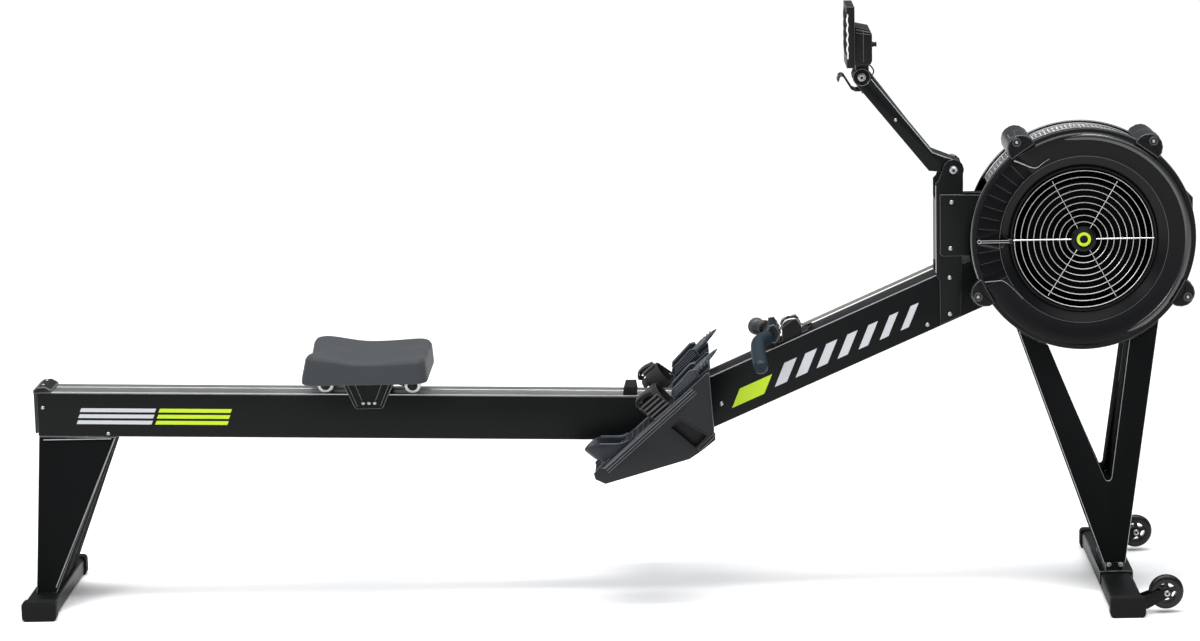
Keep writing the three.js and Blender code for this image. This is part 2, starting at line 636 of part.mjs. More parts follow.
function makeHeelCups() {
  const y = -board.middle;
  const halfWidth = 38;
  const sole = plate([[-4, 1], [196, 1], [212, 8], [274, 12], [274, 17], [336, 24], [336, 27.5], [270, 22.5],
    [210, 20], [194, 5], [-4, 5]], y - halfWidth, y + halfWidth);
  // The cup is a horseshoe wall, high at the heel and low towards the toe.
  const horseshoe = new THREE.Shape();
  horseshoe.moveTo(88, y - halfWidth);
  horseshoe.lineTo(88, y - halfWidth + 4);
  horseshoe.lineTo(30, y - halfWidth + 4);
  horseshoe.absarc(30, y, halfWidth - 4, -Math.PI / 2, Math.PI / 2, true);
  horseshoe.lineTo(88, y + halfWidth - 4);
  horseshoe.lineTo(88, y + halfWidth);
  horseshoe.lineTo(30, y + halfWidth);
  horseshoe.absarc(30, y, halfWidth, Math.PI / 2, -Math.PI / 2, false);
  const wall = new THREE.ExtrudeGeometry(horseshoe, { depth: 60, bevelEnabled: false, curveSegments: 12 });
  wall.translate(0, 0, 2);
  const slopeCut = plate([[12, 70], [30, 58], [90, 14], [120, 14], [120, 90], [12, 90]], y - 60, y + 60);
  addPair("heel_cup", join(sole, cut(wall, slopeCut)), slatePlastic, slope);
}

function makeStraps() {
  const y = -board.middle;
  const halfSpan = 48;
  const height = 68;
  const thickness = 3;
  const from = 156;
  const width = 36;
  const arch = new THREE.Shape();
  const foot = 1;
  arch.moveTo(y - halfSpan, foot);
  arch.lineTo(y - halfSpan, height - 34);
  arch.absellipse(y, height - 34, halfSpan, 34, Math.PI, 0, true);
  arch.lineTo(y + halfSpan, foot);
  arch.lineTo(y + halfSpan - thickness, foot);
  arch.lineTo(y + halfSpan - thickness, height - 34);
  arch.absellipse(y, height - 34, halfSpan - thickness, 34 - thickness, 0, Math.PI, false);
  arch.lineTo(y - halfSpan + thickness, foot);
  const strap = bar(arch, from, from + width, 10);
  addPair("foot_strap", strap, webbing, slope);
}

// ---------------------------------------------------------------- seat
function makeSeat() {
  // The pad is a saddle: its ends are higher than its middle, and its corners are round.
  const along = 10;
  const across = 8;
  const positions = [];
  const index = [];
  const edge = (u, v) => {
    const x = (u - 0.5) * seat.length;
    const reach = seat.halfWidth * (0.94 + 0.06 * Math.cos((u - 0.5) * Math.PI * 2));
    const y = (v - 0.5) * 2 * reach;
    return [x, y];
  };
  const crown = (u, v) => {
    const rim = Math.min(1, 8 * Math.min(u, 1 - u) + 0.35) * Math.min(1, 8 * Math.min(v, 1 - v) + 0.35);
    const dish = 9 * Math.cos((u - 0.5) * Math.PI * 2) * Math.sin(v * Math.PI);
    return (seat.top - seat.bottom - 4) * (0.55 + 0.45 * rim) - dish;
  };
  for (const side of [0, 1]) {
    for (let i = 0; i <= along; i += 1) {
      for (let j = 0; j <= across; j += 1) {
        const [x, y] = edge(i / along, j / across);
        const shrink = side ? 1 : 0.93;
        const z = side ? crown(i / along, j / across) : 0;
        positions.push(seat.x + x * shrink, y * shrink, seat.bottom + z);
      }
    }
  }
  const layer = (along + 1) * (across + 1);
  const at = (side, i, j) => side * layer + i * (across + 1) + j;
  const quad = (a, b, c, d) => index.push(a, b, c, a, c, d);
  for (let i = 0; i < along; i += 1) {
    for (let j = 0; j < across; j += 1) {
      quad(at(1, i, j), at(1, i + 1, j), at(1, i + 1, j + 1), at(1, i, j + 1));
      quad(at(0, i, j), at(0, i, j + 1), at(0, i + 1, j + 1), at(0, i + 1, j));
    }
    quad(at(0, i, 0), at(0, i + 1, 0), at(1, i + 1, 0), at(1, i, 0));
    quad(at(0, i + 1, across), at(0, i, across), at(1, i, across), at(1, i + 1, across));
  }
  for (let j = 0; j < across; j += 1) {
    quad(at(0, 0, j + 1), at(0, 0, j), at(1, 0, j), at(1, 0, j + 1));
    quad(at(0, along, j), at(0, along, j + 1), at(1, along, j + 1), at(1, along, j));
  }
  const pad = new THREE.BufferGeometry();
  pad.setAttribute("position", new THREE.Float32BufferAttribute(positions, 3));
  pad.setIndex(index);
  add("seat_pad", pad, seatFoam);

  const track = railTop(seat.x);
  const axleZ = track + gap + roller.radius;
  const plateTop = seat.bottom - gap;
  const outerY = railHalfWidth + 8;
  const top = box(seat.x - 109, seat.x + 108, -outerY, outerY, plateTop - 2, plateTop);
  const cheekOutline = [
    [seat.x - 109, plateTop - 1], [seat.x - 106, axleZ - 8], [seat.x - 78, axleZ - 8],
    [seat.x - 30, track - 33], [seat.x + 30, track - 33],
    [seat.x + 78, axleZ - 8], [seat.x + 106, axleZ - 8], [seat.x + 108, plateTop - 1],
  ];
  const cheeks = [-1, 1].map((s) => plate(cheekOutline, Math.min(s * (outerY - 3), s * outerY),
    Math.max(s * (outerY - 3), s * outerY)));
  const guide = rod(seat.x, track - 18, 5, -outerY, -railHalfWidth - 1, 12);
  const guideFar = rod(seat.x, track - 18, 5, railHalfWidth + 1, outerY, 12);
  const bores = [-0.5, 0.5].map((s) => {
    const x = seat.x + s * roller.spacing;
    return rod(x, railTop(x) + gap + roller.radius, 4.5, -70, 70, 12);
  });
  add("seat_carriage", cut(join(top, ...cheeks, guide, guideFar), ...bores), blackPaint);

  // Each pair of rollers turns on one shaft across the carriage.
  for (const [name, s] of [["seat_rollers_rear", -0.5], ["seat_rollers_front", 0.5]]) {
    const x = seat.x + s * roller.spacing;
    const z = railTop(x) + gap + roller.radius;
    const inner = roller.y - roller.width / 2;
    const outer = roller.y + roller.width / 2;
    const profile = [
      [0, -outerY - 3], [4, -outerY - 3], [4, -outer], [roller.radius, -outer], [roller.radius, -inner],
      [4, -inner], [4, inner], [roller.radius, inner], [roller.radius, outer], [4, outer],
      [4, outerY + 3], [0, outerY + 3],
    ];
    add(name, turned(profile, x, z, 18), whiteTyre);
  }
}

// ---------------------------------------------------------------- handle, holder and chain
function makeHandle() {
  // Each grip turns back at an elbow beside the clasp, then falls slightly towards its end.
  const nearRun = [
    [handle.x - 27, -handle.halfLength, handle.z - 31],
    [handle.x - 30, -168, handle.z - 18],
    [handle.x - 29, -92, handle.z - 6.5],
    [handle.x - 10, -50, handle.z - 1.5],
    [handle.x, -18, handle.z],
  ];
  const farRun = nearRun.map(([x, y, z]) => [x, -y, z]).reverse();
  const path = [...nearRun, ...farRun];
  const core = roundBar(path, 8.5, 44, 4);
  const block = plate([[340, 533], [356, 531], [366, 552], [353, 573], [342, 570], [336, 552]], -44, 44);
  const eye = roundBar([[356, -6.5, 556], [388, -6.5, 567], [404, -5, 568], [409, 0, 568], [404, 5, 568],
    [388, 6.5, 567], [356, 6.5, 556]], 2.6, 10, 3);
  eye.translate(0, 0, -3);
  add("handle_core", join(core, block, eye), blackPlastic);

  // The grip is a rubber sleeve along the outer part of the core.
  const curve = new THREE.CatmullRomCurve3(path.map((p) => new THREE.Vector3(...p)));
  const nearest = (y) => {
    let before = 0;
    let after = 1;
    for (let i = 0; i < 40; i += 1) {
      const middle = (before + after) / 2;
      if (curve.getPointAt(middle).y < y) {
        before = middle;
      } else {
        after = middle;
      }
    }
    return before;
  };
  const from = nearest(-handle.halfLength + 1);
  const to = nearest(-47);
  const count = 18;
  const pointAt = (i) => curve.getPointAt(from + ((to - from) * i) / count).toArray();
  const sleevePath = Array.from({ length: count + 1 }, (_, i) => pointAt(i));
  addPair("handle_grip", roundBar(sleevePath, handle.gripRadius, 18, 5, 9.9), gripRubber);
}

function makeHolder() {
  const sit = (x) => beamUpper(x) + gap;
  const base = [[364, sit(364)], [424, sit(424)], [424, sit(424) + 5], [364, sit(364) + 5]];
  const cheek = [[370, sit(370) + 3], [412, sit(412) + 3], [409, 566], [399, 581], [390, 580], [370, 564]];
  const cheeks = [[-32, -11], [11, 32]].map(([y0, y1]) => plate(cheek, y0, y1));
  add("handle_holder", join(plate(base, -32, 32), ...cheeks), blackPlastic);
}

function makeChain() {
  const length = (column.left + 24 - chainEnd.x) / Math.cos(chainAngle);
  const chain = box(0, length, -3, 3, -4, 4);
  chain.rotateY(-chainAngle);
  chain.translate(chainEnd.x, 0, chainEnd.z);
  add("chain", chain, chainSteel);
}

// ---------------------------------------------------------------- monitor arm and monitor
function makeMonitorArm() {
  const lower = { x: column.pivotX, z: column.pivotZ };
  const elbow = { insideX: 677, insideZ: 888.5, outsideX: 684, outsideZ: 927 };
  const bossRadius = 19;
  const outline = [
    [elbow.insideX, elbow.insideZ], [705, 886], ...arcPoints(lower, 19, 215, 355, 6),
    ...arcPoints(lower, 20, 20, 100, 5), [elbow.outsideX, elbow.outsideZ],
    ...arcPoints(monitorPivot, bossRadius, 20, 228, 8),
  ];
  const inner = outline.map(([x, z]) => [x - 2.4, z - 2.2]);
  const wall = 3;
  const channel = cut(plate(outline, -armHalfWidth, armHalfWidth),
    plate(inner, -armHalfWidth + wall, armHalfWidth - wall));
  // The yoke's boss is open at the top, so the monitor's foot can turn in it.
  const roomReach = armHalfWidth - wall;
  const bossRoom = rod(monitorPivot.x, monitorPivot.z, bossRadius + 5, -roomReach, roomReach, 16);
  const pinHoles = [
    rod(lower.x, lower.z, 6.6, -50, 50, 10), rod(monitorPivot.x, monitorPivot.z, 5.6, -50, 50, 10),
  ];
  const cleared = cut(channel, bossRoom, ...pinHoles);
  const hook = [
    [556, 1062], [527, 1059], [521, 1062], [505, 1088], [499, 1091], [493, 1088], [490, 1077], [493, 1076],
    [496, 1086], [499, 1087.5], [502.5, 1085.5], [518, 1060], [527, 1055.5], [560, 1056],
  ];
  const hookPlate = plate(hook, -28, 28);
  const bridge = box(540, 566, -armHalfWidth + 1, armHalfWidth - 1, 1052, 1059.5);
  add("monitor_arm", join(cleared, hookPlate, bridge), blackPaint);

  const pin = rod(lower.x, lower.z, 6, -column.inner - column.wall - 1, column.inner + column.wall + 1, 10);
  const heads = [-1, 1].map((s) => {
    const y0 = s * (column.inner + column.wall + gap);
    const y1 = s * (column.inner + column.wall + gap + 6);
    return rod(lower.x, lower.z, 10, Math.min(y0, y1), Math.max(y0, y1), 6);
  });
  add("arm_pivot_bolt", join(pin, ...heads), zinc);
}

function makeMonitor() {
  const depth = 17;
  const front = box(monitor.face, monitor.face + depth, -monitor.halfWidth, monitor.halfWidth,
    monitor.bottom, monitor.top);
  const window = box(monitor.face - 3, monitor.face + 4, -50, 34, 1136, 1222);
  const keyY = 53;
  const keyHalf = { y: 9, z: 7 };
  const keyHeights = [1148, 1168, 1188, 1208];
  const keyHoles = keyHeights.map((z) => box(monitor.face - 3, monitor.face + 6, keyY - keyHalf.y - gap,
    keyY + keyHalf.y + gap, z - keyHalf.z - gap, z + keyHalf.z + gap));
  add("monitor_front", cut(front, window, ...keyHoles), blackPlastic);
  const glass = box(monitor.face + 1.5, monitor.face + 4 - gap, -50 + gap, 34 - gap, 1136 + gap, 1222 - gap);
  add("monitor_screen", glass, screenGlass);
  keyHeights.forEach((z, i) => {
    const key = box(monitor.face - 1.5, monitor.face + 4.4, keyY - keyHalf.y, keyY + keyHalf.y,
      z - keyHalf.z, z + keyHalf.z);
    add(`monitor_key_${i + 1}`, key, slatePlastic);
  });

  const x0 = monitor.face + depth + gap;
  const shell = plate([[x0, 1113], [monitor.back - 3, 1115], [monitor.back, 1122], [monitor.back, 1176],
    [monitor.back - 4, 1185], [x0, 1192]], -56, 56);
  const neck = box(x0 + 3, monitorPivot.x + 15, -31, 31, monitorPivot.z + 6, 1116);
  const boss = rod(monitorPivot.x, monitorPivot.z, 17, -31, 31, 16);
  const knob = new THREE.CylinderGeometry(4.5, 4.5, 12, 12);
  knob.rotateZ(Math.PI / 2);
  knob.translate(monitor.back + 5, 0, 1150);
  const rear = join(shell, neck, boss, knob);
  add("monitor_rear", cut(rear, rod(monitorPivot.x, monitorPivot.z, 5.6, -50, 50, 10)), blackPlastic);
  const pin = rod(monitorPivot.x, monitorPivot.z, 5, -armHalfWidth - 1, armHalfWidth + 1, 10);
  const heads = [-1, 1].map((s) => {
    const y0 = s * (armHalfWidth + gap);
    const y1 = s * (armHalfWidth + gap + 5);
    return rod(monitorPivot.x, monitorPivot.z, 8, Math.min(y0, y1), Math.max(y0, y1), 6);
  });
  add("tilt_bolt", join(pin, ...heads), zinc);

  // The sensor lead leaves the monitor's back and goes down into the arm.
  const lead = [[562, 34, 1130], [568, 34, 1124], [573, 34, 1110], [572, 34, 1094], [568, 34, 1083]];
  add("sensor_lead", roundBar(lead, 1.5, 8, 3), blackRubber);
}

makeRail();
makeRearEndCap();
makeFrontSeatStop();
makeRearLeg();
makeFeet();
makeFrontLeg();
makeMainBeam();
makeColumn();
makeAxleBracket();
makeCovers();
makeCage();
makeGrille();
makeFlywheel();
makeDamper();
makeReturn();
makeFootboards();
makeHeelCups();
makeStraps();
makeSeat();
makeHandle();
makeHolder();
makeChain();
makeMonitorArm();
makeMonitor();

export default machine;
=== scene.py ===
"""The looks of a rowing machine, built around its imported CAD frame. Lengths are in millimetres
unless a name says otherwise, and become metres where a mesh or a light is made."""

import json
import math

import bmesh
import bpy
from mathutils import Matrix, Vector


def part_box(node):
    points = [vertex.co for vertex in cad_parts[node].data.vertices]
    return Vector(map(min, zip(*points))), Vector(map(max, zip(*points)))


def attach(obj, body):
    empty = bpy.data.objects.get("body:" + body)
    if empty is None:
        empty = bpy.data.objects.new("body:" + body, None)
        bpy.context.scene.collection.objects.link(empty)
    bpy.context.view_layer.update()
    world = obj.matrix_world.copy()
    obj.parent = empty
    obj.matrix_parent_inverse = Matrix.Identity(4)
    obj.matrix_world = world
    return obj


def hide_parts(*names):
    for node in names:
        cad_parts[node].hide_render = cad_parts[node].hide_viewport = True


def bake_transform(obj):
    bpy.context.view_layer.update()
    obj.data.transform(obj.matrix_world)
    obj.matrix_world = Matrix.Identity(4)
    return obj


MM = 0.001
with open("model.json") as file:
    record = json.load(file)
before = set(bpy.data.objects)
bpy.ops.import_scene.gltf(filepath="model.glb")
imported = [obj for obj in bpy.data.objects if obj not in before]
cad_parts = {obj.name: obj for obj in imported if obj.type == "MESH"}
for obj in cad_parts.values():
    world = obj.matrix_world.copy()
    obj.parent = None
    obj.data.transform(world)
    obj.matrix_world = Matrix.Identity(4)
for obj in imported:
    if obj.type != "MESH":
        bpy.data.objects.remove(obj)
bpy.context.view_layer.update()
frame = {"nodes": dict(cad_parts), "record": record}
NODES = frame["nodes"]
BODY_OF = {node: body for body, group in frame["record"]["behaviour"]["bodies"].items() for node in group}
SLOT_OF = {part["node"]: part["material_slot"] for part in frame["record"]["subparts"]}


def box_mm(node):
    low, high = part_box(node)
    return Vector(low) / MM, Vector(high) / MM


def middle_mm(node):
    low, high = box_mm(node)
    return (low + high) / 2


def sin_deg(angle):
    return math.sin(math.radians(angle))


def cos_deg(angle):
    return math.cos(math.radians(angle))


def smooth_step(low, high, value):
    t = min(1, max(0, (value - low) / (high - low)))
    return t * t * (3 - 2 * t)


# ------------------------------------------------------------------ driving places, from the frame
AXLE = middle_mm("flywheel_axle")
PIVOT = middle_mm("arm_pivot_bolt")
TILT = middle_mm("tilt_bolt")
SEAT_LOW, SEAT_HIGH = box_mm("seat_pad")
SEAT_MIDDLE = (SEAT_LOW + SEAT_HIGH) / 2
RAIL_SLOPE = 0.0235
RAIL_TOP_AT_ORIGIN = 427.8
BEAM_SLOPE = 0.4378
BEAM_LOWER_AT_ORIGIN = 256.7
BEAM_RISE = 111.4
BEAM_HALF_WIDTH = 40
RAIL_HALF_WIDTH = 42.6
BOARD_ANGLE = 40.3
BOARD_HEEL = Vector((-6.4, 0, 298.7))
BOARD_MIDDLE = 112
SIDES = (("near", -1), ("far", 1))


def rail_top(x):
    return RAIL_TOP_AT_ORIGIN - RAIL_SLOPE * x


def beam_upper(x):
    return BEAM_LOWER_AT_ORIGIN + BEAM_SLOPE * x + BEAM_RISE


def on_board(along, side, out):
    """A point of the foot stretcher: along its slope from the heel, across it, and out of it."""
    return Vector((
        BOARD_HEEL.x + along * cos_deg(BOARD_ANGLE) - out * sin_deg(BOARD_ANGLE),
        side,
        BOARD_HEEL.z + along * sin_deg(BOARD_ANGLE) + out * cos_deg(BOARD_ANGLE),
    ))


# ------------------------------------------------------------------ shapes
class Shape:
    """Points in millimetres, and the faces between them."""

    def __init__(self, points=(), faces=()):
        self.points = [Vector(p) for p in points]
        self.faces = [tuple(f) for f in faces]

    def add(self, *others):
        for other in others:
            start = len(self.points)
            self.points += [p.copy() for p in other.points]
            self.faces += [tuple(i + start for i in face) for face in other.faces]
        return self

    def warp(self, move):
        return Shape([move(p) for p in self.points], self.faces)

    def mirrored(self):
        return self.warp(lambda p: Vector((p.x, -p.y, p.z)))


def loft(rings, around=False, closed=True):
    """Joins rings of points by faces. around joins the last to the first; otherwise the ends are capped."""
    count = len(rings[0])
    shape = Shape([p for ring in rings for p in ring])
    columns = count if closed else count - 1
    for i in range(len(rings) if around else len(rings) - 1):
        a = i * count
        b = ((i + 1) % len(rings)) * count
        for j in range(columns):
            k = (j + 1) % count
            shape.faces.append((a + j, a + k, b + k, b + j))
    if closed and not around:
        last = (len(rings) - 1) * count
        shape.faces.append(tuple(range(count))[::-1])
        shape.faces.append(tuple(range(last, last + count)))
    return shape


def revolve(profile, x, z, steps=64, solid=False):
    """Turns a profile of (radius, y) about an axis along Y. A solid profile starts and ends on the axis."""
    rings = []
    for i in range(steps):
        angle = 360 * i / steps
        rings.append([(x + r * cos_deg(angle), y, z + r * sin_deg(angle)) for r, y in profile])
    return loft(rings, around=True, closed=not solid)


def slab(outline, low, high, axis="Y"):
    place = {
        "X": lambda a, b, h: (h, a, b),
        "Y": lambda a, b, h: (a, h, b),
        "Z": lambda a, b, h: (a, b, h),
    }[axis]
    return loft([[place(a, b, h) for a, b in outline] for h in (low, high)])


def block(low, high):
    return slab([(low[0], low[2]), (high[0], low[2]), (high[0], high[2]), (low[0], high[2])], low[1], high[1])


def tube(path, radius, sides=12, around=False, height=None):
    """A round bar along a path. height flattens its section across the path's own side."""
    path = [Vector(p) for p in path]
    last = len(path) - 1
    rings = []
    side = None
    for i, point in enumerate(path):
        ahead = path[(i + 1) % len(path)] if around else path[min(i + 1, last)]
        behind = path[i - 1] if around or i else path[0]
        along = (ahead - behind).normalized()
        if side is None:
            side = along.orthogonal().normalized()
        side = (side - along * side.dot(along)).normalized()
        other = along.cross(side)
        wide = radius(i / last) if callable(radius) else radius
        tall = height or wide
        rings.append([
            point + wide * cos_deg(360 * k / sides) * side + tall * sin_deg(360 * k / sides) * other
            for k in range(sides)
        ])
    return loft(rings, around=around)


def curve(points, steps):
    """A smooth run of points through the given ones."""
    points = [Vector(p) for p in points]
    ends = [2 * points[0] - points[1]] + points + [2 * points[-1] - points[-2]]
    run = []
    for i in range(len(points) - 1):
        a, b, c, d = ends[i:i + 4]
        for k in range(steps):
            t = k / steps
            run.append(0.5 * (2 * b + (c - a) * t + (2 * a - 5 * b + 4 * c - d) * t * t
                              + (3 * b - a - 3 * c + d) * t ** 3))
    return run + [points[-1]]


def circle(centre, radius, axis, steps=48):
    axis = Vector(axis).normalized()
    side = axis.orthogonal().normalized()
    other = axis.cross(side)
    return [
        Vector(centre) + radius * (cos_deg(360 * k / steps) * side + sin_deg(360 * k / steps) * other)
        for k in range(steps)
    ]


def rounded(half_a, half_b, corner, centre=(0, 0), steps=6):
    """A rectangle with round corners, as points in a plane."""
    points = []
    for quarter, (sign_a, sign_b) in enumerate(((1, 1), (-1, 1), (-1, -1), (1, -1))):
        for k in range(steps + 1):
            angle = 90 * (quarter + k / steps)
            points.append((
                centre[0] + sign_a * (half_a - corner) + corner * cos_deg(angle),
                centre[1] + sign_b * (half_b - corner) + corner * sin_deg(angle),
            ))
    return points


def stack(centre, axis, profile, sides, turn=0.0):
    """Rings of (radius, height) along an axis, capped at both ends."""
    axis = Vector(axis).normalized()
    side = axis.orthogonal().normalized()
    other = axis.cross(side)
    rings = []
    for radius, height in profile:
        rings.append([
            Vector(centre) + height * axis
            + radius * (cos_deg(360 * k / sides + turn) * side + sin_deg(360 * k / sides + turn) * other)
            for k in range(sides)
        ])
    return loft(rings)


def hex_bolt(centre, axis, across=10, height=5):
    """A hexagon head with a chamfered, hollowed top, on a thin washer."""
    corner = across / math.sqrt(3)
    washer = across * 0.64
    disc = stack(centre, axis, [(washer - 0.3, 0), (washer, 0.3), (washer, 0.8), (washer - 0.4, 1.1)], 28)
    head = stack(centre, axis, [(corner, 1.0), (corner, height), (corner * 0.84, height + 0.9)], 6)
    hollow = stack(centre, axis, [(corner * 0.62, height + 0.7), (corner * 0.60, height + 1.3),
                                  (corner * 0.44, height + 1.3), (corner * 0.36, height + 0.95)], 20)
    return disc.add(head, hollow)


def dome_screw(centre, axis, radius=5, height=3):
    """A round head with a hexagon socket."""
    profile = [(radius, 0), (radius, height * 0.3)]
    profile += [(radius * cos_deg(a), height * (0.3 + 0.7 * sin_deg(a))) for a in (25, 45, 62)]
    socket = radius * 0.42
    profile += [(socket, height), (socket * 0.95, height * 0.45)]
    return stack(centre, axis, profile, 24)


# ------------------------------------------------------------------ materials
def surface(name, color, rough, metal=0, spec=0.5, grain=None, bump=0, rough_spread=0, mottle=0, sheen=0,
            stretch=(1, 1, 1), depth=0.3):
    """A painted, moulded or metal surface. grain is the size of its texture in millimetres, bump and
    depth its strength and height, rough_spread how the gloss varies, and mottle how the colour does."""
    material = bpy.data.materials.new(name)
    material.use_nodes = True
    tree = material.node_tree
    shader = tree.nodes["Principled BSDF"]
    shader.inputs["Base Color"].default_value = (*color, 1)
    for socket, value in (("Roughness", rough), ("Metallic", metal), ("Specular IOR Level", spec),
                          ("Sheen Weight", sheen)):
        shader.inputs[socket].default_value = value
    if not grain:
        return material
    place = tree.nodes.new("ShaderNodeTexCoord")
    mapping = tree.nodes.new("ShaderNodeMapping")
    mapping.inputs["Scale"].default_value = stretch
    tree.links.new(place.outputs["Object"], mapping.inputs["Vector"])

    def noise(source, scale, detail):
        node = tree.nodes.new("ShaderNodeTexNoise")
        node.inputs["Scale"].default_value = scale
        node.inputs["Detail"].default_value = detail
        tree.links.new(source, node.inputs["Vector"])
        return node.outputs["Fac"]

    fine = noise(mapping.outputs["Vector"], 1 / (grain * MM), 3)
    broad = noise(place.outputs["Object"], BROAD_SCALE, 5)
    if bump:
        node = tree.nodes.new("ShaderNodeBump")
        node.inputs["Strength"].default_value = bump
        node.inputs["Distance"].default_value = depth * MM
        tree.links.new(fine, node.inputs["Height"])
        tree.links.new(node.outputs["Normal"], shader.inputs["Normal"])
    if rough_spread:
        spread = tree.nodes.new("ShaderNodeMapRange")
        spread.inputs["To Min"].default_value = rough - rough_spread
        spread.inputs["To Max"].default_value = rough + rough_spread
        tree.links.new(broad, spread.inputs["Value"])
        tree.links.new(spread.outputs["Result"], shader.inputs["Roughness"])
    if mottle:
        mix = tree.nodes.new("ShaderNodeMix")
        mix.data_type = "RGBA"
        mix.inputs["A"].default_value = (*(c * (1 - mottle) for c in color), 1)
        mix.inputs["B"].default_value = (*(min(1, c * (1 + mottle)) for c in color), 1)
        tree.links.new(broad, mix.inputs["Factor"])
        tree.links.new(mix.outputs["Result"], shader.inputs["Base Color"])
    return material


BROAD_SCALE = 14            # blotches of colour and gloss to a metre
# Each row: colour, roughness, metal, specular level, grain, bump, roughness spread, mottle, and for cloth and
# foam the sheen, the stretch of the texture and its depth.
FINISHES = {
    "frame_black": ((0.0035, 0.0041, 0.0043), 0.40, 0, 0.13, 0.9, 0.2, 0.05, 0.15),
    "track_steel": ((0.40, 0.40, 0.395), 0.36, 1, 0.5, 0.8, 0.12, 0.08, 0.12, 0, (0.03, 1, 1)),
    "cap_plastic": ((0.0045, 0.0045, 0.005), 0.42, 0, 0.2, 0.5, 0.3, 0.05, 0.1),
    "cover_plastic": ((0.0028, 0.003, 0.0036), 0.30, 0, 0.16, 0.6, 0.05, 0.03, 0.1),
    "rubber_black": ((0.006, 0.006, 0.006), 0.7, 0, 0.15, 0.7, 0.4, 0.08, 0.2),
    "wheel_black": ((0.004, 0.004, 0.0045), 0.28, 0, 0.3, 0.6, 0.08, 0.06, 0.1),
    "grille_wire": ((0.50, 0.50, 0.49), 0.30, 1, 0.5, 1.0, 0.05, 0.05, 0.1),
    # The fan's own dark colour, darkened further as painted shade for the inside of the housing.
    "fan_metal": ((0.0016, 0.0017, 0.0018), 0.75, 0, 0.04, 1.0, 0.1, 0.1, 0.2),
    "fastener_zinc": ((0.42, 0.42, 0.425), 0.30, 1, 0.5, 0.6, 0.1, 0.08, 0.12),
    "chain_steel": ((0.34, 0.32, 0.28), 0.34, 1, 0.5, 0.5, 0.1, 0.1, 0.2),
    "footboard_charcoal": ((0.0125, 0.0135, 0.0155), 0.5, 0, 0.2, 0.6, 0.25, 0.06, 0.12),
    "heel_cup_slate": ((0.013, 0.0175, 0.022), 0.46, 0, 0.25, 0.6, 0.25, 0.06, 0.12),
    "strap_webbing": ((0.006, 0.006, 0.0065), 0.8, 0, 0.2, 1.1, 1.0, 0.05, 0.35, 0.12, (1, 1, 1), 0.6),
    "seat_foam": ((0.034, 0.0385, 0.0425), 0.62, 0, 0.25, 0.9, 0.35, 0.06, 0.08, 0.05),
    "roller_white": ((0.78, 0.78, 0.75), 0.45, 0, 0.4, 0.8, 0.1, 0.06, 0.05),
    "handle_black": ((0.004, 0.0045, 0.0055), 0.45, 0, 0.22, 0.5, 0.2, 0.06, 0.1),
    "grip_rubber": ((0.0055, 0.0145, 0.0235), 0.48, 0, 0.24, 0.6, 0.2, 0.06, 0.1),
    "monitor_plastic": ((0.005, 0.005, 0.0058), 0.45, 0, 0.2, 0.4, 0.25, 0.05, 0.1),
    "screen_glass": ((0.050, 0.064, 0.055), 0.12, 0, 0.6, 3.0, 0, 0, 0.05),
    "key_grey": ((0.09, 0.093, 0.098), 0.6, 0, 0.3, 0.5, 0.2, 0.05, 0.05),
}
# Painted highlights on rounded edges: the same finish, made lighter and glossier so that the edges show as bright
# lines.
PAINTED_HIGHLIGHT_FINISHES = {
    "frame_black": ((0.050, 0.052, 0.053), 0.28, 0, 1.0, 1.4, 0.05, 0.08, 0.3),
    "cover_plastic": ((0.030, 0.031, 0.033), 0.28, 0, 0.7, 1.4, 0.05, 0.08, 0.3),
    "footboard_charcoal": ((0.075, 0.079, 0.086), 0.40, 0, 0.5, 1.2, 0.1, 0.08, 0.3),
    "heel_cup_slate": ((0.07, 0.08, 0.09), 0.40, 0, 0.5, 1.2, 0.1, 0.08, 0.3),
    "cap_plastic": ((0.05, 0.05, 0.052), 0.35, 0, 0.6, 1.2, 0.1, 0.08, 0.3),
    "handle_black": ((0.04, 0.042, 0.046), 0.35, 0, 0.6, 1.2, 0.1, 0.08, 0.3),
    "monitor_plastic": ((0.05, 0.05, 0.052), 0.35, 0, 0.6, 1.2, 0.1, 0.08, 0.3),
}
SURFACES = {name: surface(name, *row) for name, row in FINISHES.items()}
EDGE_NAMES = {"footboard_charcoal": "footboard_edge", "heel_cup_slate": "heel_cup_edge",
              "monitor_plastic": "monitor_edge"}
# Each finish's painted-highlight copy, for rounded edges and light lines.
PAINTED_HIGHLIGHT_EDGES = {name: surface(EDGE_NAMES.get(name, f"{name}_edge"), *row) for name, row in PAINTED_HIGHLIGHT_FINISHES.items()}
# A bright metal as painted highlight: edge lines on black sheet parts, the front legs' rounded edges, and the shine
# of the housing's hoops.
PAINTED_HIGHLIGHT_METAL = surface("painted_highlight_metal", (0.36, 0.365, 0.37), 0.32, 1, 0.5, 1.2, 0.05, 0.08, 0.25)
LEG_BLACK = surface("leg_black", (0.0058, 0.0064, 0.0066), 0.8, 0, 0.015, 0.9, 0.2, 0.05, 0.15)
GLOSS_BLACK = surface("cover_plastic_gloss", (0.004, 0.0042, 0.005), 0.24, 0, 1.0, 1.2, 0.02, 0.04, 0.1)
GRAPHIC_LIME = surface("graphic_lime", (0.46, 0.66, 0.006), 0.4, 0, 0.4, 0.8, 0.05, 0, 0.04)
GRAPHIC_GREY = surface("graphic_grey", (0.50, 0.52, 0.54), 0.4, 0, 0.4, 0.8, 0.05, 0, 0.04)


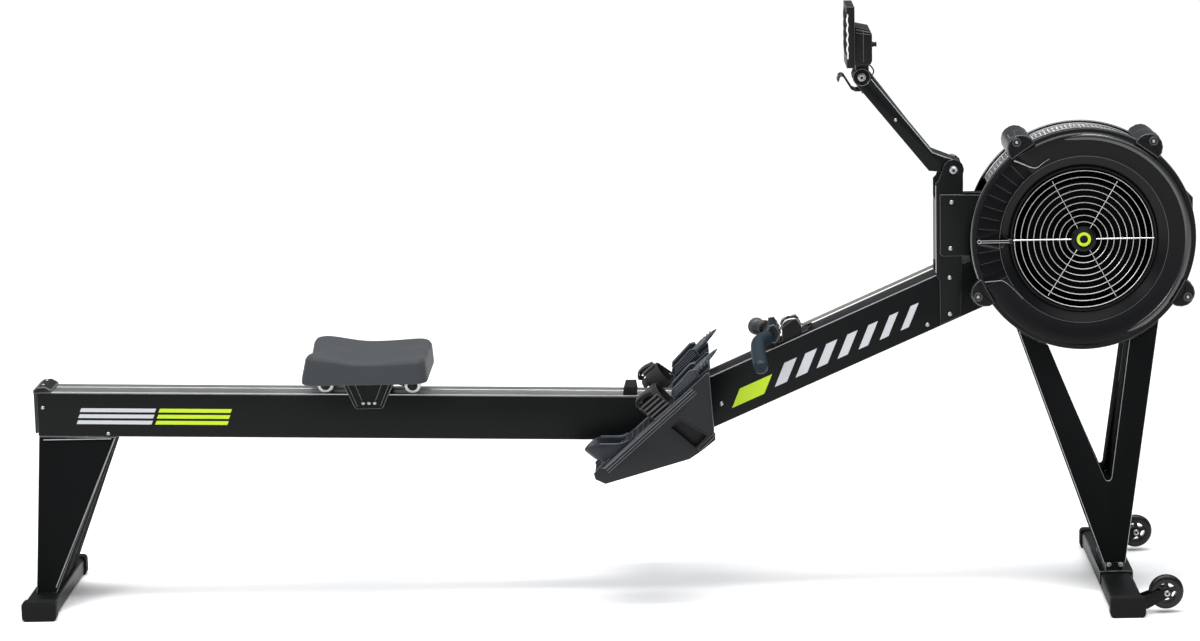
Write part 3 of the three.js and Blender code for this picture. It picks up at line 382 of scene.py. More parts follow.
# ------------------------------------------------------------------ pieces
def piece(name, shape, slot, body, replaces=(), bevel=0.0, segments=2, sharp=35, subdivide=0, finish=None):
    """Makes one object from a shape, gives it a finish and hangs it on its body, when it is given one."""
    mesh = bpy.data.meshes.new(name)
    mesh.from_pydata([p * MM for p in shape.points], [], shape.faces)
    work = bmesh.new()
    work.from_mesh(mesh)
    bmesh.ops.remove_doubles(work, verts=work.verts, dist=2e-6)
    bmesh.ops.recalc_face_normals(work, faces=work.faces)
    work.to_mesh(mesh)
    work.free()
    mesh.materials.append(finish or SURFACES[slot])
    mesh.polygons.foreach_set("use_smooth", [True] * len(mesh.polygons))
    item = bpy.data.objects.new(name, mesh)
    bpy.context.collection.objects.link(item)
    if subdivide:
        smooth = item.modifiers.new("smooth", "SUBSURF")
        smooth.levels = subdivide
        smooth.render_levels = subdivide
    elif bevel:
        # Bevelled pieces get their finish's painted-highlight copy on the rounded edges.
        if slot in PAINTED_HIGHLIGHT_EDGES and not finish:
            mesh.materials.append(PAINTED_HIGHLIGHT_EDGES[slot])
        round_edges(item, bevel, segments)
    else:
        mesh.set_sharp_from_angle(angle=math.radians(sharp))
    if body:
        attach(item, body)
    if replaces:
        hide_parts(*replaces)
    return item


def round_edges(item, bevel, segments=2, angle=32):
    edge = item.modifiers.new("edge", "BEVEL")
    edge.width = bevel * MM
    edge.segments = segments
    edge.limit_method = "ANGLE"
    edge.angle_limit = math.radians(angle)
    edge.harden_normals = True
    # The bevel takes the last material slot: the painted-highlight edge finish, where one was added.
    edge.material = len(item.data.materials) - 1


EDGE_RADIUS = {"main_beam": 2.6, "monorail_beam": 2.6, "column": 1.8, "monitor_arm": 1.6,
               "rear_leg_near": 1.4,
               "rear_leg_far": 1.4, "front_leg_near": 1.5, "front_leg_far": 1.5, "footboard_near": 1.8,
               "footboard_far": 1.8, "rear_foot_tube": 3.0, "front_foot": 2.6, "rear_foot_cap_near": 3.0,
               "rear_foot_cap_far": 3.0, "front_foot_cap_near": 3.0, "front_foot_cap_far": 3.0}
LEGS = ("rear_leg_near", "rear_leg_far", "front_leg_near", "front_leg_far")


def dress_cad(node):
    """Gives a CAD node its finish, and rounds its edges without touching its mesh. The rounded edges take a painted
    highlight: a lighter copy of the finish, and bright metal on the front legs.
    """
    item = NODES[node]
    slot = SLOT_OF[node]
    bevel = EDGE_RADIUS.get(node, 0.8)
    item.data.materials.clear()
    item.data.materials.append(LEG_BLACK if node in LEGS else SURFACES[slot])
    if node.startswith("front_leg"):
        item.data.materials.append(PAINTED_HIGHLIGHT_METAL)
    elif slot in PAINTED_HIGHLIGHT_EDGES:
        item.data.materials.append(PAINTED_HIGHLIGHT_EDGES[slot])
    for polygon in item.data.polygons:
        polygon.material_index = 0
        polygon.use_smooth = True
    weld = item.modifiers.new("weld", "WELD")
    weld.merge_threshold = 2e-5
    flat = item.modifiers.new("flat", "DECIMATE")
    flat.decimate_type = "DISSOLVE"
    flat.angle_limit = math.radians(1)
    round_edges(item, bevel)


# ------------------------------------------------------------------ camera and studio
def make_camera():
    """The camera stands in front of the machine, a little above it, and leans slightly."""
    position = Vector((0.2007, -7.4347, 1.9538))
    pitch, yaw, roll = (math.radians(a) for a in (10.468, -1.636, -1.301))
    forward = Vector((math.sin(yaw) * math.cos(pitch), math.cos(yaw) * math.cos(pitch), -math.sin(pitch)))
    level = Vector((math.cos(yaw), -math.sin(yaw), 0))
    up = level.cross(forward)
    right = math.cos(roll) * level + math.sin(roll) * up
    top = math.cos(roll) * up - math.sin(roll) * level
    data = bpy.data.cameras.new("camera")
    data.sensor_width = 36
    data.lens = 108.07
    camera = bpy.data.objects.new("camera", data)
    turn = Matrix((right, top, -forward)).transposed().to_4x4()
    camera.matrix_world = Matrix.Translation(position) @ turn
    bpy.context.collection.objects.link(camera)
    bpy.context.scene.camera = camera


def add_light(name, kind, energy, place, target, size=1.0, size_y=None):
    data = bpy.data.lights.new(name, kind)
    data.energy = energy
    if kind == "SUN":
        data.angle = size
    else:
        data.shape = "RECTANGLE"
        data.size = size
        data.size_y = size_y or size
    light = bpy.data.objects.new(name, data)
    light.location = place
    light.rotation_euler = (Vector(target) - Vector(place)).to_track_quat("-Z", "Y").to_euler()
    bpy.context.collection.objects.link(light)


def make_studio():
    scene = bpy.context.scene
    scene.view_settings.view_transform = "Standard"
    world = bpy.data.worlds.new("studio")
    world.use_nodes = True
    background = world.node_tree.nodes["Background"]
    background.inputs["Color"].default_value = (0.92, 0.95, 1.0, 1)
    background.inputs["Strength"].default_value = 0.30
    scene.world = world
    half = 60
    mesh = bpy.data.meshes.new("floor")
    mesh.from_pydata([(-half, -half, 0), (half, -half, 0), (half, half, 0), (-half, half, 0)], [],
                     [(0, 1, 2, 3)])
    floor = bpy.data.objects.new("floor", mesh)
    mesh.materials.append(surface("floor_white", (0.93, 0.93, 0.93), 0.9, spec=0.1))
    bpy.context.collection.objects.link(floor)
    add_light("sky_sun", "SUN", 2.7, (0, -0.6, 6), (0, 0, 0), size=math.radians(90))
    add_light("top_strip", "AREA", 110, (0.3, -0.4, 3.8), (0.3, 0.1, 0.4), size=3.6, size_y=0.6)
    add_light("left_key", "AREA", 40, (-2.2, -2.6, 3.0), (0.7, 0, 0.7), size=1.0, size_y=1.0)


# ------------------------------------------------------------------ flywheel housing
COVER_FACE = -88.0
SECTOR = (127.0, 206.0)          # where the cover's face is stepped, in degrees
PANEL = 6.6                      # degrees of one step of the fan
LUGS = (("upper_rear", 124), ("upper_front", 55), ("lower_rear", 208), ("lower_front", 330))
COVER_RADIUS = 230               # of both covers, outside


def cover_front(radius, angle):
    """How far forward the near cover's face is (Y) at a radius and an angle."""
    y = COVER_FACE + 4.2 if radius > 222.5 else COVER_FACE
    if radius <= 222.5:
        y += 4.2 * smooth_step(218.5, 222.5, radius)
        y += 3.6 * smooth_step(214, 174, radius)
        y += 14.5 * min(1, (174 - radius) / 26) if radius < 174 else 0
    if SECTOR[0] < angle < SECTOR[1] and radius > 171:
        inside = smooth_step(171, 174.5, radius) * (1 - smooth_step(219, 222, radius))
        end = smooth_step(SECTOR[0], SECTOR[0] + 0.9,
                          angle) * (1 - smooth_step(SECTOR[1] - 0.9, SECTOR[1], angle))
        share = (angle - SECTOR[0]) / PANEL
        step = share - math.floor(share)
        tilt = (1 - step) if step < 0.93 else (step - 0.93) / 0.07
        y += inside * end * (1.6 + 5.2 * tilt)
    slant = abs(angle - 180) * math.pi / 180 * radius
    reach = 17 * smooth_step(146, 176, radius) if radius < 176 else 17 - 8 * (radius - 176) / 38
    if 146 < radius < 221 and slant < reach:
        y += 4.4 * min(1, (reach - slant) / 3.0)
    return y


def cover_angles():
    """Angles for the cover's mesh: even all round, and finer in the stepped sector."""
    angles = []
    angle = 0.0
    while angle < 360 - 1e-6:
        angles.append(angle)
        angle += 0.55 if SECTOR[0] - 2 < angle < SECTOR[1] + 2 else 2.5
    return angles


def around_axle(radius, y, angle):
    """A point at a radius and an angle about the flywheel's axle, at a depth."""
    return AXLE.x + radius * cos_deg(angle), y, AXLE.z + radius * sin_deg(angle)


def turned(profile, steps, solid=False):
    """A profile turned about the flywheel's axle."""
    return revolve(profile, AXLE.x, AXLE.z, steps, solid)


def make_near_cover():
    radii = [COVER_RADIUS, 229.4, 226, 223.2, 222.4, 221.4, 220, 218, 215, 210, 203, 196, 189, 182, 177,
             174.5, 173, 171,
             168, 164, 160, 155, 150, 147.5, 146]
    rings = []
    for angle in cover_angles():
        front = [(r, cover_front(r, angle)) for r in radii]
        front[0] = (COVER_RADIUS, COVER_FACE + 5.4)
        profile = [(COVER_RADIUS, -64)] + front
        profile += [(146, -67), (150, -66), (172, -69), (216, -72), (226.5, -76), (226.5, -64)]
        rings.append([around_axle(r, y, angle) for r, y in profile])
    cover = loft(rings, around=True)
    piece("near_cover_shell", cover, "cover_plastic", "frame", ["near_cover"], sharp=28)
    for name, angle in LUGS:
        make_lug(f"near_lug_{name}", angle, COVER_FACE + 1, -12 if "upper" in name else -64, near=True)


def rim_place(angle, along, out, y):
    """A point beside the housing's rim: along it, out from the axle, and at a depth."""
    return Vector((AXLE.x + out * cos_deg(angle) - along * sin_deg(angle), y,
                   AXLE.z + out * sin_deg(angle) + along * cos_deg(angle)))


def make_lug(name, angle, front, back, near):
    """A rounded block on the rim, where a screw pulls the covers together."""
    half = 29
    outline = [(-half, 223), (-half, 236), (-half * 0.80, 248), (-half * 0.50, 256), (-half * 0.2, 259),
               (half * 0.2, 259), (half * 0.50, 256), (half * 0.80, 248), (half, 236), (half, 223)]
    body = loft([[rim_place(angle, a, r, y) for a, r in outline] for y in (front, back)])
    piece(name, body, "cover_plastic", "frame", ["near_cover" if near else "far_cover"], bevel=2.4,
          segments=3)
    if not near:
        return
    centre = rim_place(angle, 0, 247, front - 0.2)
    boss = stack(centre, (0, -1, 0), [(9.5, -1), (9.5, 1.4), (8.4, 2.4), (6.4, 2.4), (6.4, 0.4)], 32)
    piece(f"{name}_boss", boss, "cover_plastic", "frame", bevel=0.8)
    piece(f"{name}_screw", dome_screw(centre, (0, -1, 0), radius=3.6, height=2.2), "fastener_zinc", "frame")
    ridge = [rim_place(angle, a, r, front - 1.0) for a, r in ((-half + 2, 226), (-half * 0.4, 235),
                                                            (half * 0.4, 235), (half - 2, 226))]
    piece(f"{name}_ridge", tube(curve(ridge, 6), 1.8, 8), "cover_plastic", "frame")
    saddle = loft([[rim_place(angle, a, r, y) for a, r in ((-9, 255.5), (-7, 260.4), (7, 260.4), (9, 255.5))]
                   for y in (front + 10, -14)])
    piece(f"{name}_bridge", saddle, "cover_plastic", "frame", bevel=1.4, segments=3)


def make_cover_beads():
    """The rolled rim, the bright shoulder of the face, and the edges of the stepped sector. The rim bead, the
    hoops, and the sector's edge lines and rims are painted highlights in lighter finishes.
    """
    def bead(radius, y, size):
        profile = [(radius + size * cos_deg(a), y + size * sin_deg(a)) for a in range(0, 360, 45)]
        return turned(profile, 160)

    def groove(stations, lift, size):
        path = [(AXLE.x + r * cos_deg(a), cover_front(min(r, 226), a) - lift, AXLE.z + r * sin_deg(a))
                for r, a in stations]
        return tube(path, size, 8)

    # A lighter copy of the cover's finish, for painted highlight lines.
    edge = PAINTED_HIGHLIGHT_EDGES["cover_plastic"]
    piece("cover_rim_bead", bead(229.4, COVER_FACE + 5.6, 1.2), "cover_plastic", "frame", finish=edge)
    piece("cover_back_hoop", bead(230.8, -68, 1.3), "track_steel", "frame", finish=PAINTED_HIGHLIGHT_METAL)
    piece("far_cover_hoop", bead(230.6, 47.5, 1.5), "track_steel", "frame", finish=PAINTED_HIGHLIGHT_METAL)
    shoulder = [around_axle(213, COVER_FACE + 6.4, a) for a in range(-84, 122, 3)]
    piece("cover_shoulder", tube(shoulder, lambda t: 8.4 * min(1, 0.3 + 5 * t, 0.3 + 5 * (1 - t)), 24),
          "cover_plastic", "frame", finish=GLOSS_BLACK)
    piece("cover_dish_bead", bead(173.6, COVER_FACE + 4.0, 1.0), "cover_plastic", "frame", finish=GLOSS_BLACK)
    lines = Shape()
    for k in range(1, 11):
        angle = SECTOR[0] + PANEL * k
        if abs(angle - 180) < 5:
            continue
        lines.add(groove([(177 + 42 * t / 8, angle) for t in range(9)], 0.2, 0.55))
    piece("cover_sector_edges", lines, "cover_plastic", "frame", finish=edge)
    rim = Shape()
    rim.add(tube(curve([around_axle(r, COVER_FACE - 0.2, a) for r, a in (
        (221, 130.6), (205, 128.4), (190, 125.9), (182, 123.6), (180.5, 121.0), (182.5, 117.5),
        (184, 113))], 5),
        lambda t: 1.9 - 1.3 * t, 8))
    rim.add(tube(curve([around_axle(r, COVER_FACE + 0.4, a) for r, a in (
        (221, 202.5), (203, 204.2), (188, 206), (181, 209.5), (176, 216), (174.5, 224))], 5),
        lambda t: 0.95 - 0.6 * t, 8))
    piece("cover_sector_rims", rim, "cover_plastic", "frame", finish=PAINTED_HIGHLIGHT_METAL)


def make_far_cover():
    profile = [
        (0, 64), (60, 63), (120, 62.5), (150, 63), (156, 66), (161, 71), (168, 73.4), (186, 74), (212, 74),
        (221, 73),
        (226, 70.5), (229, 66), (230, 60), (230, 48), (226.5, 48), (226.5, 60), (221, 69), (168, 69.8),
        (158, 66),
        (150, 60), (0, 59),
    ]
    piece("far_cover_shell", turned(profile, 144, solid=True), "cover_plastic", "frame",
          ["far_cover"], sharp=30)
    for name, angle in LUGS:
        make_lug(f"far_lug_{name}", angle, -11.4 if "upper" in name else 48, 72, near=False)
    ribs = Shape()
    for k in range(12):
        angle = 30 * k
        ribs.add(tube([around_axle(r, 64.5 + 0.8 * (r > 130), angle)
                       for r in (34, 80, 125, 150)], 2.2, 8))
    ribs.add(turned([(26, 63), (26, 67), (30, 68.5), (34, 67), (34, 63)], 64))
    ribs.add(turned([(98, 62), (98, 65), (100, 66), (102, 65), (102, 62)], 96))
    piece("far_cover_ribs", ribs, "cover_plastic", "frame")


def make_cage():
    """The perforated steel band between the covers, with its two rolled edges."""
    start, end = -142, 150
    columns = 124
    rows = 13
    low, high = -63.5, 47.5
    inner = 222.6
    sheet = Shape()

    def corner(i, j):
        angle = start + (end - start) * i / (columns * 3)
        return AXLE.x + inner * cos_deg(angle), low + (high - low) * j / (rows * 3), AXLE.z + inner * sin_deg(angle)

    index = {}
    for i in range(columns * 3 + 1):
        for j in range(rows * 3 + 1):
            index[i, j] = len(sheet.points)
            sheet.points.append(Vector(corner(i, j)))
    for i in range(columns * 3):
        for j in range(rows * 3):
            if i % 3 == 1 and j % 3 == 1:
                continue
            sheet.faces.append((index[i, j], index[i + 1, j], index[i + 1, j + 1], index[i, j + 1]))
    item = piece("cage_mesh", sheet, "track_steel", "frame", ["cage_band"])
    thick = item.modifiers.new("thick", "SOLIDIFY")
    thick.thickness = 1.0 * MM
    thick.offset = 0
    # The rolled edges, in the bright metal of the painted highlights.
    for name, y in (("near", low), ("far", high)):
        angles = [start + (end - start) * k / 96 for k in range(97)]
        hoop = [(AXLE.x + 224.2 * cos_deg(a), y, AXLE.z + 224.2 * sin_deg(a)) for a in angles]
        piece(f"cage_hoop_{name}", tube(hoop, 2.4, 8), "track_steel", "frame", finish=PAINTED_HIGHLIGHT_METAL)
    corner_box = box_mm("cage_band")[1]
    outline = [(AXLE.x + 222 * cos_deg(2), AXLE.z + 222 * sin_deg(2)), (corner_box.x, 786),
               (corner_box.x, 821),
               (AXLE.x + 222 * cos_deg(36), AXLE.z + 222 * sin_deg(36))]
    piece("lift_bracket", slab(outline, -22, 6), "frame_black", "frame", bevel=2.0, segments=3)


def make_grille():
    """Round wires: ten rings, a bright bar across and two thin ones, and a plain hub badge."""
    wires = Shape()
    outer, inner, rings = 142.5, 23.0, 10
    for k in range(rings):
        radius = outer - (outer - inner) * k / (rings - 1)
        wires.add(tube(circle((AXLE.x, -76.4, AXLE.z), radius, (0, 1, 0), 96), 1.0, 8, around=True))
    for angle, thick, reach in ((0, 1.45, 145), (60, 0.8, 138), (118, 0.8, 138), (180, 1.45, 145),
                                (238, 0.8, 138),
                                (299, 0.8, 138)):
        ends = [around_axle(r, -78.6, angle) for r in (20, reach)]
        wires.add(tube(ends, thick, 10))
    piece("grille_wires", wires, "grille_wire", "frame", ["intake_grille"])
    badge = [(0, -81.8), (17, -81.8), (17.6, -82.2), (19, -82.4), (20.4, -82.2), (21, -81.6), (24, -81),
             (26, -79.6),
             (26.6, -77), (26.6, -75), (0, -75)]
    piece("grille_hub", turned(badge, 64, solid=True), "cover_plastic", "frame")
    band = [(8.5, -82.6), (8.5, -81.4), (14.5, -81.4), (14.5, -82.6), (13.8, -83), (9.2, -83)]
    piece("grille_hub_ring", turned(band, 64), "cover_plastic", "frame", finish=GRAPHIC_LIME)


def make_damper():
    """The ring that turns behind the cover, and its slim lever in the lens-shaped recess."""
    ring = [(147.2, -73.2), (147.2, -76), (148, -76.8), (150.2, -76.8), (151, -76), (151, -73.2)]
    piece("damper_hoop", turned(ring, 128), "cover_plastic", "damper", ["damper_ring"], sharp=50)
    y = COVER_FACE - 3.4
    tip = AXLE.x - 216
    lever = Shape()
    for side in (-1, 1):
        lever.add(tube([(AXLE.x - r, y + 2.5 * (r < 156), AXLE.z + side * (2.2 - 0.8 * (r < 156)))
                        for r in (149, 156, 185, 213)], 0.8, 8))
    lever.add(tube(circle((tip, y, AXLE.z), 3.4, (0, 1, 0), 32), 1.0, 8, around=True))
    piece("damper_lever_rod", lever, "fastener_zinc", "damper")
    web = block((tip + 3, y - 0.6, AXLE.z - 1.6), (AXLE.x - 150, y + 1.2, AXLE.z + 1.6))
    piece("damper_lever_web", web, "cover_plastic", "damper", bevel=0.4)
    neck = block((AXLE.x - 157, -91.4, AXLE.z - 5), (AXLE.x - 147.5, -75, AXLE.z + 5))
    piece("damper_lever_root", neck, "cover_plastic", "damper", bevel=1.2)


def make_flywheel():
    """A dark fan: a disc with a steel rim ring and eighteen swept blades between two plates. Its near-black is its
    own dark colour, darkened further as painted shade inside the housing.
    """
    blades = Shape()
    count = 18
    for k in range(count):
        start = 360 * k / count
        rings = []
        for t in (0, 0.25, 0.5, 0.75, 1.0):
            radius = 112 + (204 - 112) * t
            angle = start + 7.5 * t * t
            a = math.radians(angle)
            across = Vector((-math.sin(a), 0, math.cos(a))) * 1.2
            middle = Vector((AXLE.x + radius * math.cos(a), 0, AXLE.z + radius * math.sin(a)))
            rings.append([middle - across + Vector((0, -56, 0)), middle + across + Vector((0, -56, 0)),
                          middle + across + Vector((0, -18, 0)), middle - across + Vector((0, -18, 0))])
        blades.add(loft(rings))
    plate = [(8.4, -20), (204, -20), (204, -16.5), (8.4, -16.5)]
    front = [(106, -57), (118, -57.5), (118, -54), (106, -53.5)]
    hub = [(8.4, -58), (26, -58), (30, -54), (34, -30), (46, -22), (46, -18), (8.4, -18)]
    dish = [(40, -24), (60, -34), (104, -52), (110, -52), (110, -20), (40, -20)]
    blades.add(turned(plate, 96), turned(front, 96),
               turned(hub, 48), turned(dish, 96))
    piece("flywheel_fan", blades, "fan_metal", "flywheel", ["flywheel"])


# ------------------------------------------------------------------ seat
def make_seat():
    """A moulded pad: two hip hollows, a raised rear edge with a notch for the tailbone, and a soft rim."""
    middle = SEAT_MIDDLE
    half_x = (SEAT_HIGH.x - SEAT_LOW.x) / 2
    half_y = (SEAT_HIGH.y - SEAT_LOW.y) / 2 - 1
    bottom = SEAT_LOW.z + 0.4
    top = SEAT_HIGH.z
    outline = rounded(half_x, half_y, 30, steps=5)
    dense = []
    for i, (a, b) in enumerate(outline):
        c, d = outline[(i + 1) % len(outline)]
        parts = 10 if math.hypot(c - a, d - b) > 60 else 1
        dense += [(a + (c - a) * k / parts, b + (d - b) * k / parts) for k in range(parts)]

    def crown(x, y):
        u = (x - middle.x) / half_x
        v = y / half_y
        z = top - 17.0 + 12.5 * smooth_step(0.02, 0.86, -u) + 3.2 * smooth_step(0.15, 0.9, u)
        hips = 1.3 * math.exp(-(((u + 0.05) / 0.62) ** 2 + ((abs(v) - 0.45) / 0.27) ** 2))
        notch = 12.0 * math.exp(-((v / 0.30) ** 2)) * smooth_step(0.35, 1.0, -u)
        ridge = 3.0 * math.exp(-((v / 0.16) ** 2)) * smooth_step(-0.5, 0.5, u)
        return z - 9.0 * hips - 2.5 * (1 - v * v) - notch + ridge

    def ring(inset, height, scale=1.0, on_top=False):
        points = []
        for a, b in dense:
            length = math.hypot(a, b)
            pull = 7.0 * smooth_step(0.55, 0.98, -a / half_x) * math.exp(-((b / (0.38 * half_y)) ** 2))
            flare = 0 if on_top else 6.0 * smooth_step(0.3, 1.0, -a / half_x)
            x = middle.x + (a - inset * a / length + pull - flare) * scale
            y = (b - inset * b / length) * scale
            points.append((x, y, crown(x, y) + height if on_top else bottom + height))
        return points

    skirt = 5.0
    rings = [ring(0, 0, 0.3), ring(17, 0), ring(12, -skirt * 0.6), ring(8, -skirt), ring(2.0, 0.5 - skirt),
             ring(0, 3.0 - skirt), ring(0.8, 12 - skirt)]
    rings += [ring(inset, -drop, on_top=True) for inset, drop in
              ((3.4, 14), (4.2, 9.6), (4.8, 8.2), (9.6, 2.4), (12.0, 0.6), (15.0, 0.4))]
    rings += [ring(15.0, 0.6, scale, on_top=True) for scale in (0.93, 0.84, 0.74, 0.63, 0.5, 0.37, 0.24, 0.1)]
    pad = piece("seat_cushion", loft(rings), "seat_foam", "seat", ["seat_pad"], subdivide=2)


def make_rollers():
    for end in ("rear", "front"):
        node = f"seat_rollers_{end}"
        axle = middle_mm(node)
        body = BODY_OF[node]
        tyres = Shape()
        hubs = Shape()
        for side in (-1, 1):
            y = side * 31
            tyre = [(11, y - 5.5), (15.4, y - 5.5), (16.6, y - 4.4), (17, y - 2.5), (17, y + 2.5),
                    (16.6, y + 4.4),
                    (15.4, y + 5.5), (11, y + 5.5)]
            tyres.add(revolve(tyre, axle.x, axle.z, 48))
            hub = [(3.9, y - 6.6), (6, y - 6.6), (6.8, y - 5.2), (9.6, y - 4.6), (11.1, y - 4.9),
                   (11.1, y + 4.9),
                   (9.6, y + 4.6), (6.8, y + 5.2), (6, y + 6.6), (3.9, y + 6.6)]
            hubs.add(revolve(hub, axle.x, axle.z, 40))
        piece(f"roller_tyres_{end}", tyres, "roller_white", body, [node])
        piece(f"roller_hubs_{end}", hubs, "handle_black", body)
        reach = 40
        pin = stack((axle.x, -reach, axle.z), (0, 1, 0), [(3.2, 0), (3.9, 0.8), (3.9, 2 * reach - 0.8),
                                                          (3.2, 2 * reach)], 20)
        piece(f"roller_pin_{end}", pin, "handle_black", body)


def make_carriage():
    """A pressed frame under the seat: a plate, two tapering cheeks that reach past the rail, and the inner
    walls that carry the roller pins."""
    x = SEAT_MIDDLE.x
    track = rail_top(x)
    top = SEAT_LOW.z - 0.4
    foot = track - 31
    piece("carriage_plate", block((x - 107, -42, top - 2), (x + 107, 42, top)), "frame_black", "seat",
          ["seat_carriage"], bevel=0.6)
    for side_name, side in SIDES:
        def wall(outline, low, high):
            ends = sorted((side * low, side * high))
            return slab([(x + a, z) for a, z in outline], *ends)

        half = [(27, foot), (57, top - 12), (62, top - 1)]
        cheek = wall([(-a, z) for a, z in reversed(half)] + half, 46.6, 49.4)
        piece(f"carriage_cheek_{side_name}", cheek, "frame_black", "seat", bevel=0.8)
        bridge = block((x - 52, min(side * 20, side * 48), top - 3),
                       (x + 52, max(side * 20, side * 48), top - 1))
        piece(f"carriage_bridge_{side_name}", bridge, "frame_black", "seat", bevel=0.5)
        inner = wall([(-98, top - 1), (-98, track + 12), (-78, track + 9), (-60, track + 14),
                      (60, track + 14),
                      (78, track + 9), (98, track + 12), (98, top - 1)], 18.4, 21.0)
        piece(f"carriage_wall_{side_name}", inner, "frame_black", "seat", bevel=0.6)
        # The cheeks' ribs in a lighter copy of the frame's finish: painted highlight lines.
        ribs = Shape()
        for mirror in (-1, 1):
            for start, end in (((57, -8), (29, -44)), ((49, -8), (24, -42)), ((33, -8), (14, -34))):
                ribs.add(tube([(x + mirror * start[0], side * 50.0, top + start[1] + 4),
                               (x + mirror * end[0], side * 50.0, top + end[1] * (top - foot) / 46)], 1.0, 8))
        piece(f"carriage_ribs_{side_name}", ribs, "frame_black", "seat", finish=PAINTED_HIGHLIGHT_EDGES["frame_black"])
        clip = wall([(-14, top - 7), (-6, top - 19), (2, top - 21), (9, top - 17), (16, top - 7)], 49.4, 50.6)
        piece(f"carriage_clip_{side_name}", clip, "handle_black", "seat", bevel=0.4)
        vee = tube([(x - 14, side * 50.8, top - 7), (x - 6, side * 50.8, top - 18)], 0.9, 8)
        vee.add(tube([(x + 16, side * 50.8, top - 7), (x + 9, side * 50.8, top - 16)], 0.9, 8))
        piece(f"carriage_clip_edges_{side_name}", vee, "fastener_zinc", "seat")
        bolts = Shape()
        for offset in (-12, 0, 12):
            bolts.add(dome_screw((x + offset, side * 49.4, track - 18), (0, side, 0), 4.0, 2.2))
        piece(f"carriage_bolts_{side_name}", bolts, "fastener_zinc", "seat")
        arms = Shape()
        for mirror in (-1, 1):
            arms.add(tube([(x + mirror * 52, side * 40, top - 8), (x + mirror * 72, side * 38, top - 10)],
                          3.4, 10))
        piece(f"carriage_stays_{side_name}", arms, "frame_black", "seat")


